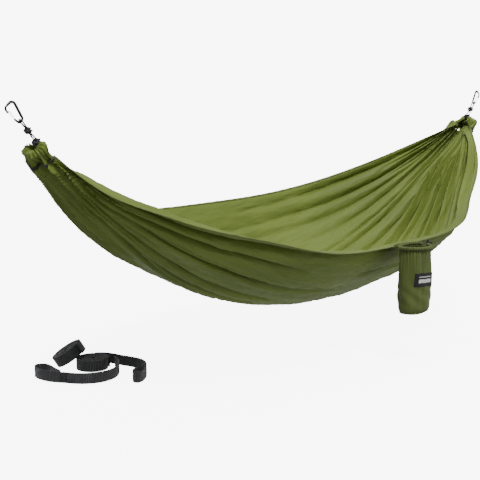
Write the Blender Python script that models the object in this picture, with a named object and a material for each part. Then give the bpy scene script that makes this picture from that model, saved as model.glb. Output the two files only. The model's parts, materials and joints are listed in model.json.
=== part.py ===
"""Camping hammock with its stuff sack, wire-gate carabiners and tree straps.

Metres, +Z up. X runs along the hammock from left to right and Y points from the near edge
to the far edge. The origin is the left hang point, where an anchor strap bears on the inside
of the left carabiner's top bar. The right hang point lies at (SPAN, 0, 0).
"""

import math

import bmesh
import bpy
from mathutils import Matrix, Vector

# --- clearances -------------------------------------------------------------------------
GAP = 0.0004                    # between touching pieces
LOOSE = 0.0011                  # between a cord loop and the bar that it swings on

# --- hanging geometry -------------------------------------------------------------------
CHORD = 2.375                   # gather to gather, along X
PULL_ANGLE = math.radians(50)   # of the suspension above the horizontal
CORD_RUN = 0.095                # carabiner's bottom bar to the gather
GROUND_DROP = 0.930             # hang points to the ground that the straps lie on

# --- fabric bed -------------------------------------------------------------------------
FABRIC_THICKNESS = 0.0020
NEAR_ANGLE = math.radians(-48)  # of the near edge from straight down, about the ridge line
FAR_ANGLE = math.radians(58)
NEAR_SAG, MID_SAG, FAR_SAG = 0.585, 0.645, 0.600
NEAR_FULLNESS, MID_FULLNESS, FAR_FULLNESS = 3.15, 2.4, 3.0
BED_ROWS = 34                   # stations along the hammock
BED_COLUMNS = 20                # stations across it
HEM_RADIUS = 0.0024

# --- gathered ends ----------------------------------------------------------------------
RING_HEIGHT = 0.020             # half-height of the ring that the channel is drawn into
RING_WIDTH = 0.032              # its half-width
RING_WRAP = math.radians(150)   # how far the channel wraps the ring each way
RING_FADE = 0.12                # share of the chord over which the ring opens out
CHANNEL_RADIUS = 0.0110
CHANNEL_WALL = 0.0015
CHANNEL_STAND = 0.0045          # from the channel's outside to the bed's first row
CHANNEL_DEPTH = 0.038           # channel seam, measured along the fabric from the ring
STITCH_RADIUS = 0.0008
CORD_RADIUS = 0.0024
LEG_HALF_SPACING = 0.0029       # of the two cord legs where a knot holds them
LEG_BOW = 0.0018                # extra half-spacing between the knots
LOOP_KNOT_AT = 0.37             # share of CORD_RUN from the carabiner
LOOP_KNOT_ROPE = 0.0036
SUSPENSION_POINTS = 72
SEAM_POINTS = 25
GATHER_KNOT_ROPE = 0.0046
LOOP_KNOT_HALF = 0.0080          # half-length of cord that the loop knot covers
GATHER_KNOT_AT = 0.0145          # above the gather, along the pull
GATHER_KNOT_HALF = 0.0050
LEG_SPLAY = 0.0035               # where the legs part to enter the channel

# --- carabiner, in its own plane: (across towards the gate, along the spine) ------------
ROD_RADIUS = 0.0030
SPINE_ANGLE = math.radians(60)  # of the spine above the horizontal
HINGE_END = (0.0280, 0.0135)
BOTTOM_GATE_CORNER = (0.0190, -0.0054)
BOTTOM_SPINE_CORNER = (0.0029, -0.0027)
TOP_SPINE_CORNER = (0.0029, 0.0615)
TOP_GATE_CORNER = (0.0385, 0.0555)
NOSE_END = (0.0362, 0.0370)
BOTTOM_FILLET = 0.0062
TOP_SPINE_FILLET = 0.0120
TOP_GATE_FILLET = 0.0085
BOTTOM_BEARING_ACROSS = 0.0115
GATE_WIRE_RADIUS = 0.0009
GATE_HOLE_RADIUS = 0.0013
GATE_PIN_SETBACK = 0.0040       # of the gate's pin holes from the rod's hinge end
GATE_PIN_DEPTH = 0.0018         # how far each wire end reaches into the rod
GATE_NOSE_LAP = 0.0030          # how far the gate laps behind the nose

# --- stuff sack -------------------------------------------------------------------------
SACK_OFFSET = 0.011             # of the sack's middle from the bed's, along X
SACK_HALF_WIDTH = 0.066
SACK_HALF_DEPTH = 0.052
SACK_HEIGHT = 0.222
SACK_WALL = 0.0018
SACK_BASE_DOME = 0.010
BASE_RINGS = (1.0, 0.8, 0.55, 0.3)    # of the base panel, as shares of its edge
OVAL_SEGMENTS = 36
MOUTH_RADIUS = 0.0065           # of the rolled channel round the mouth
MOUTH_WALL = 0.0014
MOUTH_GAP_ANGLE = math.radians(13)
SEAM_TAPE_LENGTH = 0.080
SEAM_TAPE_THICKNESS = 0.0016
SEAM_TAPE_HEIGHT = 0.012
LABEL_WIDTH, LABEL_HEIGHT, LABEL_THICKNESS = 0.090, 0.050, 0.0010
LABEL_COLUMNS = 14
LABEL_DROP = 0.114              # of its middle below the mouth
LABEL_TURN = math.radians(-97)  # of its middle round the sack, from +X
DRAWCORD_RADIUS = 0.0012
DRAWCORD_HALF_SPACING = 0.0017
LOCK_RADIUS = 0.0062
LOCK_HEIGHT = 0.0176
LOCK_BORE = 0.0047
LOCK_FLOOR = 0.0014
LOCK_HOLE_HALF_WIDTH = 0.0033
LOCK_HOLE_HALF_HEIGHT = 0.0017
LOCK_STANDOFF = 0.0150          # lock's axis from the middle of the mouth channel
BUTTON_PROUD = 0.0042
BUTTON_TRAVEL = 0.0035
LOCK_SLIDE = 0.0080
SPRING_WIRE = 0.00035
SPRING_TURNS = 4
SPRING_SIDES = 9
DRAWCORD_POINTS = 70
DRAWCORD_TURNS = 14              # route points round half of the mouth
TAIL_KNOT_RADIUS = 0.0022
TAIL_STRAIGHT = 0.012

# --- tree straps ------------------------------------------------------------------------
STRAP_WIDTH = 0.038
STRAP_THICKNESS = 0.0020
COIL_RADIUS = 0.061
LEAN_COIL_RADIUS = 0.058        # of the leaning coil, wound a little tighter
COIL_HOLE = 0.009
STRAP_SPOT = (0.515, 0.310)     # middle of the flat coil on the ground
STRAP_HEADING = math.radians(-38.6)
LEAN_ANGLE = math.radians(32)
LEAN_BACK = 0.029               # of the leaning coil's middle behind the flat one's
LONG_LOOP_JOIN = (-0.096, -0.1655)
LONG_RUN = [
    (-0.053, -0.184), (-0.013, -0.189), (0.027, -0.180), (0.062, -0.152),
    (0.082, -0.115), (0.090, -0.072), (0.088, -0.030), (0.077, 0.006),
]
LONG_LOOP = [
    (-0.139, -0.147), (-0.174, -0.116), (-0.193, -0.084), (-0.195, -0.060), (-0.181, -0.047),
    (-0.160, -0.052), (-0.142, -0.075), (-0.125, -0.110), (-0.108, -0.143),
]
SHORT_RUN = [
    (0.010, 0.0642), (0.040, 0.061), (0.072, 0.042), (0.105, 0.012), (0.140, -0.016),
    (0.167, -0.045), (0.180, -0.080), (0.182, -0.115), (0.177, -0.150),
]
SHORT_LOOP = [
    (0.166, -0.185), (0.150, -0.204), (0.136, -0.198), (0.132, -0.178), (0.140, -0.155),
    (0.156, -0.132), (0.171, -0.112),
]
SHORT_TACK_AT = (0.1815, -0.098)      # where the short end's loop is sewn to its run
TACK_THICKNESS = 0.0009
TACK_LENGTH = 0.016
LONG_END_POINTS = 50
SHORT_END_POINTS = 40
SECOND_TAIL_ARC = math.radians(64)

# --- worked out from the sizes above ----------------------------------------------------
COLOURS = {
    "fabric": ((0.118, 0.150, 0.048), 0.62, 0.0),
    "hem": ((0.060, 0.080, 0.025), 0.70, 0.0),
    "cord": ((0.012, 0.012, 0.013), 0.80, 0.0),
    "alloy": ((0.035, 0.036, 0.038), 0.35, 0.9),
    "steel": ((0.55, 0.55, 0.55), 0.28, 1.0),
    "webbing": ((0.014, 0.014, 0.015), 0.75, 0.0),
    "plastic": ((0.012, 0.012, 0.012), 0.45, 0.0),
    "label": ((0.020, 0.020, 0.020), 0.60, 0.0),
}
PULL = Vector((-math.cos(PULL_ANGLE), 0, math.sin(PULL_ANGLE)))
SPINE = Vector((-math.cos(SPINE_ANGLE), 0, math.sin(SPINE_ANGLE)))
ACROSS = Vector((-math.sin(SPINE_ANGLE), 0, -math.cos(SPINE_ANGLE)))
ACROSS_PULL = Vector((math.sin(PULL_ANGLE), 0, math.cos(PULL_ANGLE)))
SIDEWAYS = Vector((0, 1, 0))


def bar_height(start, end, across):
    """Height of the straight bar between two corners, at a place across the carabiner."""
    share = (across - start[0]) / (end[0] - start[0])
    return start[1] + share * (end[1] - start[1])


def carabiner_reach():
    """Distance from the bottom bar's middle to the top bar's inner side, along the pull."""
    lean = math.tan(SPINE_ANGLE - PULL_ANGLE)
    bottom = bar_height(BOTTOM_SPINE_CORNER, BOTTOM_GATE_CORNER, BOTTOM_BEARING_ACROSS)
    slope = (TOP_GATE_CORNER[1] - TOP_SPINE_CORNER[1]) / (TOP_GATE_CORNER[0] - TOP_SPINE_CORNER[0])
    level = TOP_SPINE_CORNER[1] + slope * (BOTTOM_BEARING_ACROSS - TOP_SPINE_CORNER[0])
    rise = (level - ROD_RADIUS - bottom) / (1 - slope * lean)
    return rise / math.cos(SPINE_ANGLE - PULL_ANGLE)


REACH = carabiner_reach()
BEARING = -REACH * PULL                       # bottom bar's middle, where the cord hangs
GATHER = BEARING - CORD_RUN * PULL            # where the channel is drawn together
SPAN = CHORD + 2 * GATHER.x                   # hang point to hang point
GROUND = -GROUND_DROP
STRAP_FRAME = (Matrix.Translation((STRAP_SPOT[0], STRAP_SPOT[1], GROUND))
               @ Matrix.Rotation(STRAP_HEADING, 4, "Z"))


# --- helpers ----------------------------------------------------------------------------
def clear_scene():
    """Remove every object, so that the script gives the same model each run."""
    for item in list(bpy.data.objects):
        bpy.data.objects.remove(item, do_unlink=True)


def finish(name):
    """The material of one finish."""
    if name in bpy.data.materials:
        return bpy.data.materials[name]
    colour, roughness, metallic = COLOURS[name]
    material = bpy.data.materials.new(name)
    material.use_nodes = True
    shader = material.node_tree.nodes["Principled BSDF"]
    shader.inputs["Base Color"].default_value = (*colour, 1)
    shader.inputs["Roughness"].default_value = roughness
    shader.inputs["Metallic"].default_value = metallic
    return material


def place(name, mesh, look, origin=(0, 0, 0)):
    """Add a mesh given in world places as an object whose origin is at origin."""
    mesh.transform(Matrix.Translation(-Vector(origin)))
    mesh.materials.clear()
    mesh.materials.append(finish(look))
    item = bpy.data.objects.new(name, mesh)
    item.location = origin
    bpy.context.scene.collection.objects.link(item)
    return item


def from_bmesh(name, shape, look, origin=(0, 0, 0), smooth=True):
    """Turn a bmesh into a placed object with its faces pointing out."""
    bmesh.ops.recalc_face_normals(shape, faces=shape.faces)
    mesh = bpy.data.meshes.new(name)
    shape.to_mesh(mesh)
    shape.free()
    if smooth:
        mesh.shade_smooth()
    return place(name, mesh, look, origin)


def tube(name, points, radius, look, closed=False, resolution=2, origin=(0, 0, 0), capped=True):
    """A round tube along world points, as a mesh object."""
    curve = bpy.data.curves.new(name, "CURVE")
    curve.dimensions = "3D"
    curve.bevel_depth = radius
    curve.bevel_resolution = resolution
    curve.use_fill_caps = capped and not closed
    spline = curve.splines.new("POLY")
    spline.points.add(len(points) - 1)
    for knot, point in zip(spline.points, points):
        knot.co = (*point, 1)
    spline.use_cyclic_u = closed
    carrier = bpy.data.objects.new(name + "_path", curve)
    bpy.context.scene.collection.objects.link(carrier)
    graph = bpy.context.evaluated_depsgraph_get()
    mesh = bpy.data.meshes.new_from_object(carrier.evaluated_get(graph))
    bpy.data.objects.remove(carrier, do_unlink=True)
    shape = bmesh.new()
    shape.from_mesh(mesh)
    bpy.data.meshes.remove(mesh)
    bmesh.ops.remove_doubles(shape, verts=shape.verts, dist=1e-6)
    return from_bmesh(name, shape, look, origin)


def smooth_route(route, count, closed=False):
    """Points spaced evenly along a Catmull-Rom curve through the route's own points."""
    route = [Vector(point) for point in route]
    size = len(route)
    spans = size if closed else size - 1
    dense = []
    for span in range(spans):
        if closed:
            a, b, c, d = (route[(span + k - 1) % size] for k in range(4))
        else:
            b, c = route[span], route[span + 1]
            a = route[span - 1] if span else 2 * b - c
            d = route[span + 2] if span + 2 < size else 2 * c - b
        for step in range(16):
            t = step / 16
            dense.append(0.5 * ((2 * b) + (c - a) * t + (2 * a - 5 * b + 4 * c - d) * t ** 2
                                + (3 * b - a - 3 * c + d) * t ** 3))
    dense.append(dense[0] if closed else route[-1])
    lengths = [0.0]
    for start, end in zip(dense, dense[1:]):
        lengths.append(lengths[-1] + (end - start).length)
    points, index = [], 0
    for step in range(count):
        target = lengths[-1] * step / (count if closed else count - 1)
        while index < len(dense) - 2 and lengths[index + 1] < target:
            index += 1
        share = (target - lengths[index]) / max(lengths[index + 1] - lengths[index], 1e-9)
        points.append(dense[index].lerp(dense[index + 1], min(share, 1)))
    return points


def rounded(corners, radii, steps=6):
    """A polyline whose inner corners are replaced by arcs of the given radii."""
    corners = [Vector(corner) for corner in corners]
    points = [corners[0]]
    for before, corner, after, radius in zip(corners, corners[1:], corners[2:], radii):
        inward, outward = (before - corner).normalized(), (after - corner).normalized()
        half = inward.angle(outward) / 2
        centre = corner + (inward + outward).normalized() * radius / math.sin(half)
        first = corner + inward * radius / math.tan(half) - centre
        last = corner + outward * radius / math.tan(half) - centre
        sweep = first.angle(last)
        for step in range(steps + 1):
            t = step / steps
            arm = (first * math.sin((1 - t) * sweep) + last * math.sin(t * sweep)) / math.sin(sweep)
            points.append(centre + arm)
    points.append(corners[-1])
    return points


def cut(target, cutter_mesh, name):
    """Subtract a closed mesh from an object with a live Boolean."""
    cutter = bpy.data.objects.new(name, cutter_mesh)
    cutter.hide_render = True
    cutter.display_type = "WIRE"
    bpy.context.scene.collection.objects.link(cutter)
    modifier = target.modifiers.new(name, "BOOLEAN")
    modifier.operation = "DIFFERENCE"
    modifier.solver = "EXACT"
    modifier.object = cutter


def cylinder_mesh(name, radius, depth, frame, segments=24):
    """A closed cylinder centred on a frame, along the frame's Z."""
    shape = bmesh.new()
    bmesh.ops.create_cone(shape, cap_ends=True, segments=segments, radius1=radius,
                          radius2=radius, depth=depth, matrix=frame)
    mesh = bpy.data.meshes.new(name)
    shape.to_mesh(mesh)
    shape.free()
    return mesh


def box_mesh(name, size, centre):
    """A closed box of a size, centred on a point."""
    shape = bmesh.new()
    bmesh.ops.create_cube(shape, size=1, matrix=Matrix.Translation(centre) @ Matrix.Diagonal((*size, 1)))
    mesh = bpy.data.meshes.new(name)
    shape.to_mesh(mesh)
    shape.free()
    return mesh


def mirrored(point, side):
    """A point of the left end, or its mirror image at the right end."""
    point = Vector(point)
    if side == "left":
        return point
    return Vector((SPAN - point.x, point.y, point.z))


# --- fabric bed -------------------------------------------------------------------------
def across_blend(u, near, middle, far):
    """A value that passes through three given values from the near edge to the far edge."""
    return near * 2 * (u - 0.5) * (u - 1) + middle * 4 * u * (1 - u) + far * 2 * u * (u - 0.5)


def ring_offset(u):
    """Place of a thread on the left gather's ring, from the gather point."""
    turn = (2 * u - 1) * RING_WRAP
    return (-RING_HEIGHT * (1 + math.cos(turn))) * ACROSS_PULL + RING_WIDTH * math.sin(turn) * SIDEWAYS


def bed_point(u, v):
    """Middle surface of the bed: u from the near edge to the far edge, v from left to right."""
    angle = NEAR_ANGLE + (FAR_ANGLE - NEAR_ANGLE) * u
    sag = across_blend(u, NEAR_SAG, MID_SAG, FAR_SAG)
    fullness = across_blend(u, NEAR_FULLNESS, MID_FULLNESS, FAR_FULLNESS)
    drop = sag * (1 - abs(2 * v - 1) ** fullness)
    point = Vector((CHORD * v, drop * math.sin(angle), -drop * math.cos(angle)))
    offset = ring_offset(u)
    point += max(0.0, 1 - v / RING_FADE) ** 2 * offset
    point += max(0.0, 1 - (1 - v) / RING_FADE) ** 2 * Vector((-offset.x, offset.y, offset.z))
    return point + GATHER


def bed_normal(u, v):
    """Outward normal of the bed, away from the person lying in it."""
    step = 1e-4
    along_u = bed_point(u + step, v) - bed_point(u - step, v)
    along_v = bed_point(u, v + step) - bed_point(u, v - step)
    return along_u.cross(along_v).normalized()


def hem_point(u, outward, v):
    """Middle of the hem beside the bed's edge u; outward is -1 at the near edge, 1 at the far."""
    step = 1e-4
    along = bed_point(u, v + step) - bed_point(u, v - step)
    away = along.cross(bed_normal(u, v)).normalized()
    if away.dot(bed_point(u + outward * step, v) - bed_point(u, v)) < 0:
        away = -away
    return bed_point(u, v) + away * (HEM_RADIUS + 2 * GAP)


def thread_place(u, distance):
    """Share v at which a thread has run a distance from the left ring."""
    v, run = 0.0, 0.0
    step = 2e-4
    while run < distance:
        run += (bed_point(u, v + step) - bed_point(u, v)).length
        v += step
    return v


def bed_stations():
    """Shares along the bed, closer together near the gathered ends."""
    start = max(thread_place(u, CHANNEL_RADIUS + CHANNEL_STAND) for u in (0.0, 0.25, 0.5, 0.75, 1.0))
    places = []
    for row in range(BED_ROWS + 1):
        share = row / BED_ROWS
        eased = share - 0.72 * math.sin(2 * math.pi * share) / (2 * math.pi)
        places.append(start + (1 - 2 * start) * eased)
    return places


def build_fabric():
    """The bed's cloth, as a thin shell."""
    shape = bmesh.new()
    half = FABRIC_THICKNESS / 2
    stations = bed_stations()
    skins = []
    for side in (1, -1):
        skin = []
        for v in stations:
            row = []
            for column in range(BED_COLUMNS + 1):
                u = column / BED_COLUMNS
                row.append(shape.verts.new(bed_point(u, v) + side * half * bed_normal(u, v)))
            skin.append(row)
        skins.append(skin)
    outer, inner = skins
    for row in range(BED_ROWS):
        for column in range(BED_COLUMNS):
            for skin in (outer, inner):
                shape.faces.new((skin[row][column], skin[row + 1][column],
                                 skin[row + 1][column + 1], skin[row][column + 1]))
        for column in (0, BED_COLUMNS):
            shape.faces.new((outer[row][column], outer[row + 1][column],
                             inner[row + 1][column], inner[row][column]))
    for row in (0, BED_ROWS):
        for column in range(BED_COLUMNS):
            shape.faces.new((outer[row][column], outer[row][column + 1],
                             inner[row][column + 1], inner[row][column]))
    bmesh.ops.triangulate(shape, faces=shape.faces)
    from_bmesh("hammock_fabric", shape, "fabric")


def build_hems():
    """The rolled hems just outside the bed's two long edges."""
    for name, u, outward in (("near_hem", 0.0, -1), ("far_hem", 1.0, 1)):
        points = [hem_point(u, outward, v) for v in bed_stations()]
        tube(name, points, HEM_RADIUS, "hem")


# --- gathered ends ----------------------------------------------------------------------
def ring_point(turn):
    """Point of the left gather's ring; a turn of zero is its lowest point."""
    return (GATHER - RING_HEIGHT * (1 + math.cos(turn)) * ACROSS_PULL
            + RING_WIDTH * math.sin(turn) * SIDEWAYS)


def channel_solid(name, points, radius, wall, look, origin=(0, 0, 0)):
    """A rolled cloth channel: an open tube with a wall."""
    channel = tube(name, points, radius, look, origin=origin, capped=False)
    modifier = channel.modifiers.new("wall", "SOLIDIFY")
    modifier.thickness = wall
    modifier.offset = -1
    return channel


def build_channel(side):
    """The end channel drawn up on the suspension cord, and its seam."""
    arc = [RING_WRAP * (2 * step / 20 - 1) for step in range(21)]
    points = [mirrored(ring_point(turn), side) for turn in arc]
    channel_solid(side + "_end_channel", points, CHANNEL_RADIUS, CHANNEL_WALL, "fabric")
    stand = FABRIC_THICKNESS / 2 + STITCH_RADIUS + 2 * GAP
    seam = []
    for step in range(SEAM_POINTS):
        u = 0.03 + 0.94 * step / (SEAM_POINTS - 1)
        v = thread_place(0.5, CHANNEL_DEPTH)
        seam.append(mirrored(bed_point(u, v) + stand * bed_normal(u, v), side))
    tube(side + "_channel_seam", seam, STITCH_RADIUS, "cord", resolution=1)


def leg(height, sign, spacing):
    """Point of one cord leg, at a height above the gather along the pull."""
    return GATHER + height * PULL + sign * spacing * SIDEWAYS


def build_suspension(side):
    """The closed suspension cord: round the carabiner, through both knots and the channel."""
    loop_radius = ROD_RADIUS + LOOSE + CORD_RADIUS
    knot_height = CORD_RUN * (1 - LOOP_KNOT_AT)
    half = []
    for step in range(3):
        turn = math.pi / 2 * step / 2
        half.append(BEARING + loop_radius * (math.cos(turn) * PULL + math.sin(turn) * SIDEWAYS))
    half.append(leg(CORD_RUN * 0.82, 1, loop_radius * 0.82))
    half.append(leg(knot_height + LOOP_KNOT_HALF, 1, LEG_HALF_SPACING))
    half.append(leg(knot_height - LOOP_KNOT_HALF, 1, LEG_HALF_SPACING))
    half.append(leg(knot_height * 0.55, 1, LEG_HALF_SPACING + LEG_BOW))
    half.append(leg(GATHER_KNOT_AT + GATHER_KNOT_HALF, 1, LEG_HALF_SPACING))
    half.append(leg(GATHER_KNOT_AT - GATHER_KNOT_HALF, 1, LEG_HALF_SPACING))
    half.append(leg(0.002, 1, LEG_HALF_SPACING + LEG_SPLAY))
    for step in range(5):
        half.append(ring_point(math.radians(146) * (1 - step / 4)))
    other = [Vector((point.x, -point.y, point.z)) for point in half[-2:0:-1]]
    route = [mirrored(point, side) for point in half + other]
    centreline = smooth_route(route, SUSPENSION_POINTS, closed=True)
    tube(side + "_suspension_cord", centreline, CORD_RADIUS, "cord", closed=True)
    build_knot(side + "_loop_knot", knot_height, LOOP_KNOT_ROPE, side)
    build_knot(side + "_gather_knot", GATHER_KNOT_AT, GATHER_KNOT_ROPE, side)


def build_knot(name, height, rope, side):
    """A drawn-up knot round both cord legs, as one ring."""
    reach = LEG_HALF_SPACING + CORD_RADIUS + GAP * 2 + rope
    rise = CORD_RADIUS + GAP * 2 + rope
    centre = GATHER + height * PULL
    points = []
    for step in range(18):
        turn = 2 * math.pi * step / 18
        spot = centre + reach * math.cos(turn) * SIDEWAYS + rise * math.sin(turn) * ACROSS_PULL
        points.append(mirrored(spot, side))
    tube(name, points, rope, "cord", closed=True)


# --- carabiners -------------------------------------------------------------------------
def carabiner_point(place_in_plane, sideways=0.0):
    """World point of the left carabiner from its place in the carabiner's own plane."""
    bottom = bar_height(BOTTOM_SPINE_CORNER, BOTTOM_GATE_CORNER, BOTTOM_BEARING_ACROSS)
    across, along = place_in_plane
    return (BEARING + (across - BOTTOM_BEARING_ACROSS) * ACROSS + (along - bottom) * SPINE
            + sideways * SIDEWAYS)


def gate_pin():
    """Place of the gate's pin in the carabiner's own plane."""
    end, corner = Vector(HINGE_END), Vector(BOTTOM_GATE_CORNER)
    return end + (corner - end).normalized() * GATE_PIN_SETBACK


def build_carabiner(side):
    """One bent rod from the gate's hinge round to the nose, with its pin hole."""
    corners = [HINGE_END, BOTTOM_GATE_CORNER, BOTTOM_SPINE_CORNER, TOP_SPINE_CORNER,
               TOP_GATE_CORNER, NOSE_END]
    radii = [BOTTOM_FILLET, BOTTOM_FILLET, TOP_SPINE_FILLET, TOP_GATE_FILLET]
    outline = rounded([(a, b, 0) for a, b in corners], radii, steps=6)
    points = [mirrored(carabiner_point((p.x, p.y)), side) for p in outline]
    body = tube(side + "_carabiner_body", points, ROD_RADIUS, "alloy", resolution=3)
    frame = (Matrix.Translation(mirrored(carabiner_point(gate_pin()), side))
             @ Matrix.Rotation(math.pi / 2, 4, "X"))
    cut(body, cylinder_mesh(side + "_pin_hole", GATE_HOLE_RADIUS, 4 * ROD_RADIUS, frame, 16),
        side + "_pin_hole")


def build_gate(side):
    """The sprung wire gate, a U whose ends sit in the pin hole."""
    nose, before = Vector(NOSE_END), Vector(TOP_GATE_CORNER)
    arm = (nose - before).normalized()
    inward = Vector((arm.y, -arm.x))
    if inward.dot(Vector((-1, 0))) < 0:
        inward = -inward
    tip = nose - arm * GATE_NOSE_LAP + inward * (ROD_RADIUS + GATE_WIRE_RADIUS + 2 * GAP)
    pin = gate_pin()
    stand = ROD_RADIUS + GATE_WIRE_RADIUS + 2 * GAP
    inner = ROD_RADIUS - GATE_PIN_DEPTH
    corners = [(pin, inner), (pin, stand), (tip, stand), (tip, -stand), (pin, -stand), (pin, -inner)]
    route = [carabiner_point(spot, sideways) for spot, sideways in corners]
    route = rounded(route, [0.0012, 0.0022, 0.0022, 0.0012], steps=4)
    points = [mirrored(point, side) for point in route]
    tube(side + "_gate_wire", points, GATE_WIRE_RADIUS, "steel",
         origin=mirrored(carabiner_point(pin), side))


# --- stuff sack -------------------------------------------------------------------------
def sack_seam():
    """Point of the near hem where the sack is sewn on, which its hinge passes through."""
    return hem_point(0.0, -1, 0.5 + SACK_OFFSET / CHORD)


SEAM = sack_seam()
SEAM_STAND = HEM_RADIUS + GAP + SEAM_TAPE_THICKNESS / 2 + GAP
SACK_MIDDLE = SEAM + Vector((0, -(SEAM_STAND + SEAM_TAPE_THICKNESS / 2 + 2 * GAP
                                  + MOUTH_RADIUS + SACK_HALF_DEPTH), 0))
SACK_TOP = SACK_MIDDLE.z - MOUTH_RADIUS - 2 * GAP


def sack_ring(turn, height, grow=0.0):
    """Point on the sack's oval, a turn from +X, at a height, grown outward."""
    return Vector((SACK_MIDDLE.x + (SACK_HALF_WIDTH + grow) * math.cos(turn),
                   SACK_MIDDLE.y + (SACK_HALF_DEPTH + grow) * math.sin(turn), height))


def oval_wall(name, profile, look, segments=OVAL_SEGMENTS):
    """A closed oval shell from a closed profile of (grow, height) points."""
    shape = bmesh.new()
    rings = []
    for step in range(segments):
        turn = 2 * math.pi * step / segments
        rings.append([shape.verts.new(sack_ring(turn, height, grow)) for grow, height in profile])
    count = len(profile)
    for step in range(segments):
        here, there = rings[step], rings[(step + 1) % segments]
        for index in range(count):
            following = (index + 1) % count
            shape.faces.new((here[index], there[index], there[following], here[following]))
    bmesh.ops.triangulate(shape, faces=shape.faces)
    return from_bmesh(name, shape, look, origin=SEAM)


def build_sack_body():
    """The sack's side wall."""
    low = SACK_TOP - SACK_HEIGHT
    half = SACK_WALL / 2
    wall = [(half, SACK_TOP), (half, low), (-half, low), (-half, SACK_TOP)]
    oval_wall("sack_body", wall, "fabric")


def base_skin(shape, edge_height, dip):
    """One skin of the sack's base panel: rings from its edge in to a pole, dipping by dip."""
    rings = []
    for share in BASE_RINGS:
        height = edge_height - dip * (1 - share ** 3)
        reach = share * (1 + SACK_WALL / 2 / SACK_HALF_WIDTH)
        ring = []
        for step in range(OVAL_SEGMENTS):
            turn = 2 * math.pi * step / OVAL_SEGMENTS
            ring.append(shape.verts.new((SACK_MIDDLE.x + reach * SACK_HALF_WIDTH * math.cos(turn),
                                         SACK_MIDDLE.y + reach * SACK_HALF_DEPTH * math.sin(turn),
                                         height)))
        rings.append(ring)
    pole = shape.verts.new((SACK_MIDDLE.x, SACK_MIDDLE.y, edge_height - dip))
    for wide, narrow in zip(rings, rings[1:]):
        for step in range(OVAL_SEGMENTS):
            after = (step + 1) % OVAL_SEGMENTS
            shape.faces.new((wide[step], wide[after], narrow[after], narrow[step]))
    for step in range(OVAL_SEGMENTS):
        shape.faces.new((rings[-1][step], rings[-1][(step + 1) % OVAL_SEGMENTS], pole))
    return rings[0]


def build_sack_base():
    """The sack's base panel, which bellies down in its middle."""
    shape = bmesh.new()
    edge_height = SACK_TOP - SACK_HEIGHT - GAP
    top = base_skin(shape, edge_height, SACK_BASE_DOME - SACK_WALL)
    bottom = base_skin(shape, edge_height - SACK_WALL, SACK_BASE_DOME - SACK_WALL)
    for step in range(OVAL_SEGMENTS):
        after = (step + 1) % OVAL_SEGMENTS
        shape.faces.new((top[step], top[after], bottom[after], bottom[step]))
    bmesh.ops.triangulate(shape, faces=shape.faces)
    from_bmesh("sack_base", shape, "fabric", origin=SEAM)


def build_sack_mouth():
    """The mouth's rolled channel, open at the right where the drawcord leaves it."""
    count = 28
    points = []
    for step in range(count + 1):
        turn = MOUTH_GAP_ANGLE + (2 * math.pi - 2 * MOUTH_GAP_ANGLE) * step / count
        points.append(sack_ring(turn, SACK_MIDDLE.z))
    channel_solid("sack_mouth_channel", points, MOUTH_RADIUS, MOUTH_WALL, "fabric", origin=SEAM)
    tape = box_mesh("sack_seam_tape", (SEAM_TAPE_LENGTH, SEAM_TAPE_THICKNESS, SEAM_TAPE_HEIGHT),
                    SEAM + Vector((0, -SEAM_STAND, 0)))
    place("sack_seam_tape", tape, "hem", SEAM)


def build_sack_label():
    """The plain label sewn on the sack's side, curved with it."""
    shape = bmesh.new()
    half_turn = LABEL_WIDTH / 2 / ((SACK_HALF_WIDTH + SACK_HALF_DEPTH) / 2)
    middle = SACK_MIDDLE.z - LABEL_DROP
    near = SACK_WALL / 2 + 2 * GAP
    columns = []
    for step in range(LABEL_COLUMNS + 1):
        turn = LABEL_TURN + half_turn * (2 * step / LABEL_COLUMNS - 1)
        column = []
        for grow, height in ((near, -1), (near, 1), (near + LABEL_THICKNESS, 1),
                             (near + LABEL_THICKNESS, -1)):
            column.append(shape.verts.new(sack_ring(turn, middle + height * LABEL_HEIGHT / 2, grow)))
        columns.append(column)
    for here, there in zip(columns, columns[1:]):
        for index in range(4):
            after = (index + 1) % 4
            shape.faces.new((here[index], there[index], there[after], here[after]))
    shape.faces.new(columns[0])
    shape.faces.new(columns[-1])
    bmesh.ops.triangulate(shape, faces=shape.faces)
    from_bmesh("sack_label", shape, "label", origin=SEAM, smooth=False)


LOCK_AXIS = Vector((SACK_MIDDLE.x + SACK_HALF_WIDTH + LOCK_STANDOFF, SACK_MIDDLE.y, SACK_MIDDLE.z))
TAIL_END = LOCK_AXIS.x + LOCK_RADIUS + LOCK_SLIDE + 2 * TAIL_KNOT_RADIUS + 2 * GAP


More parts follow.
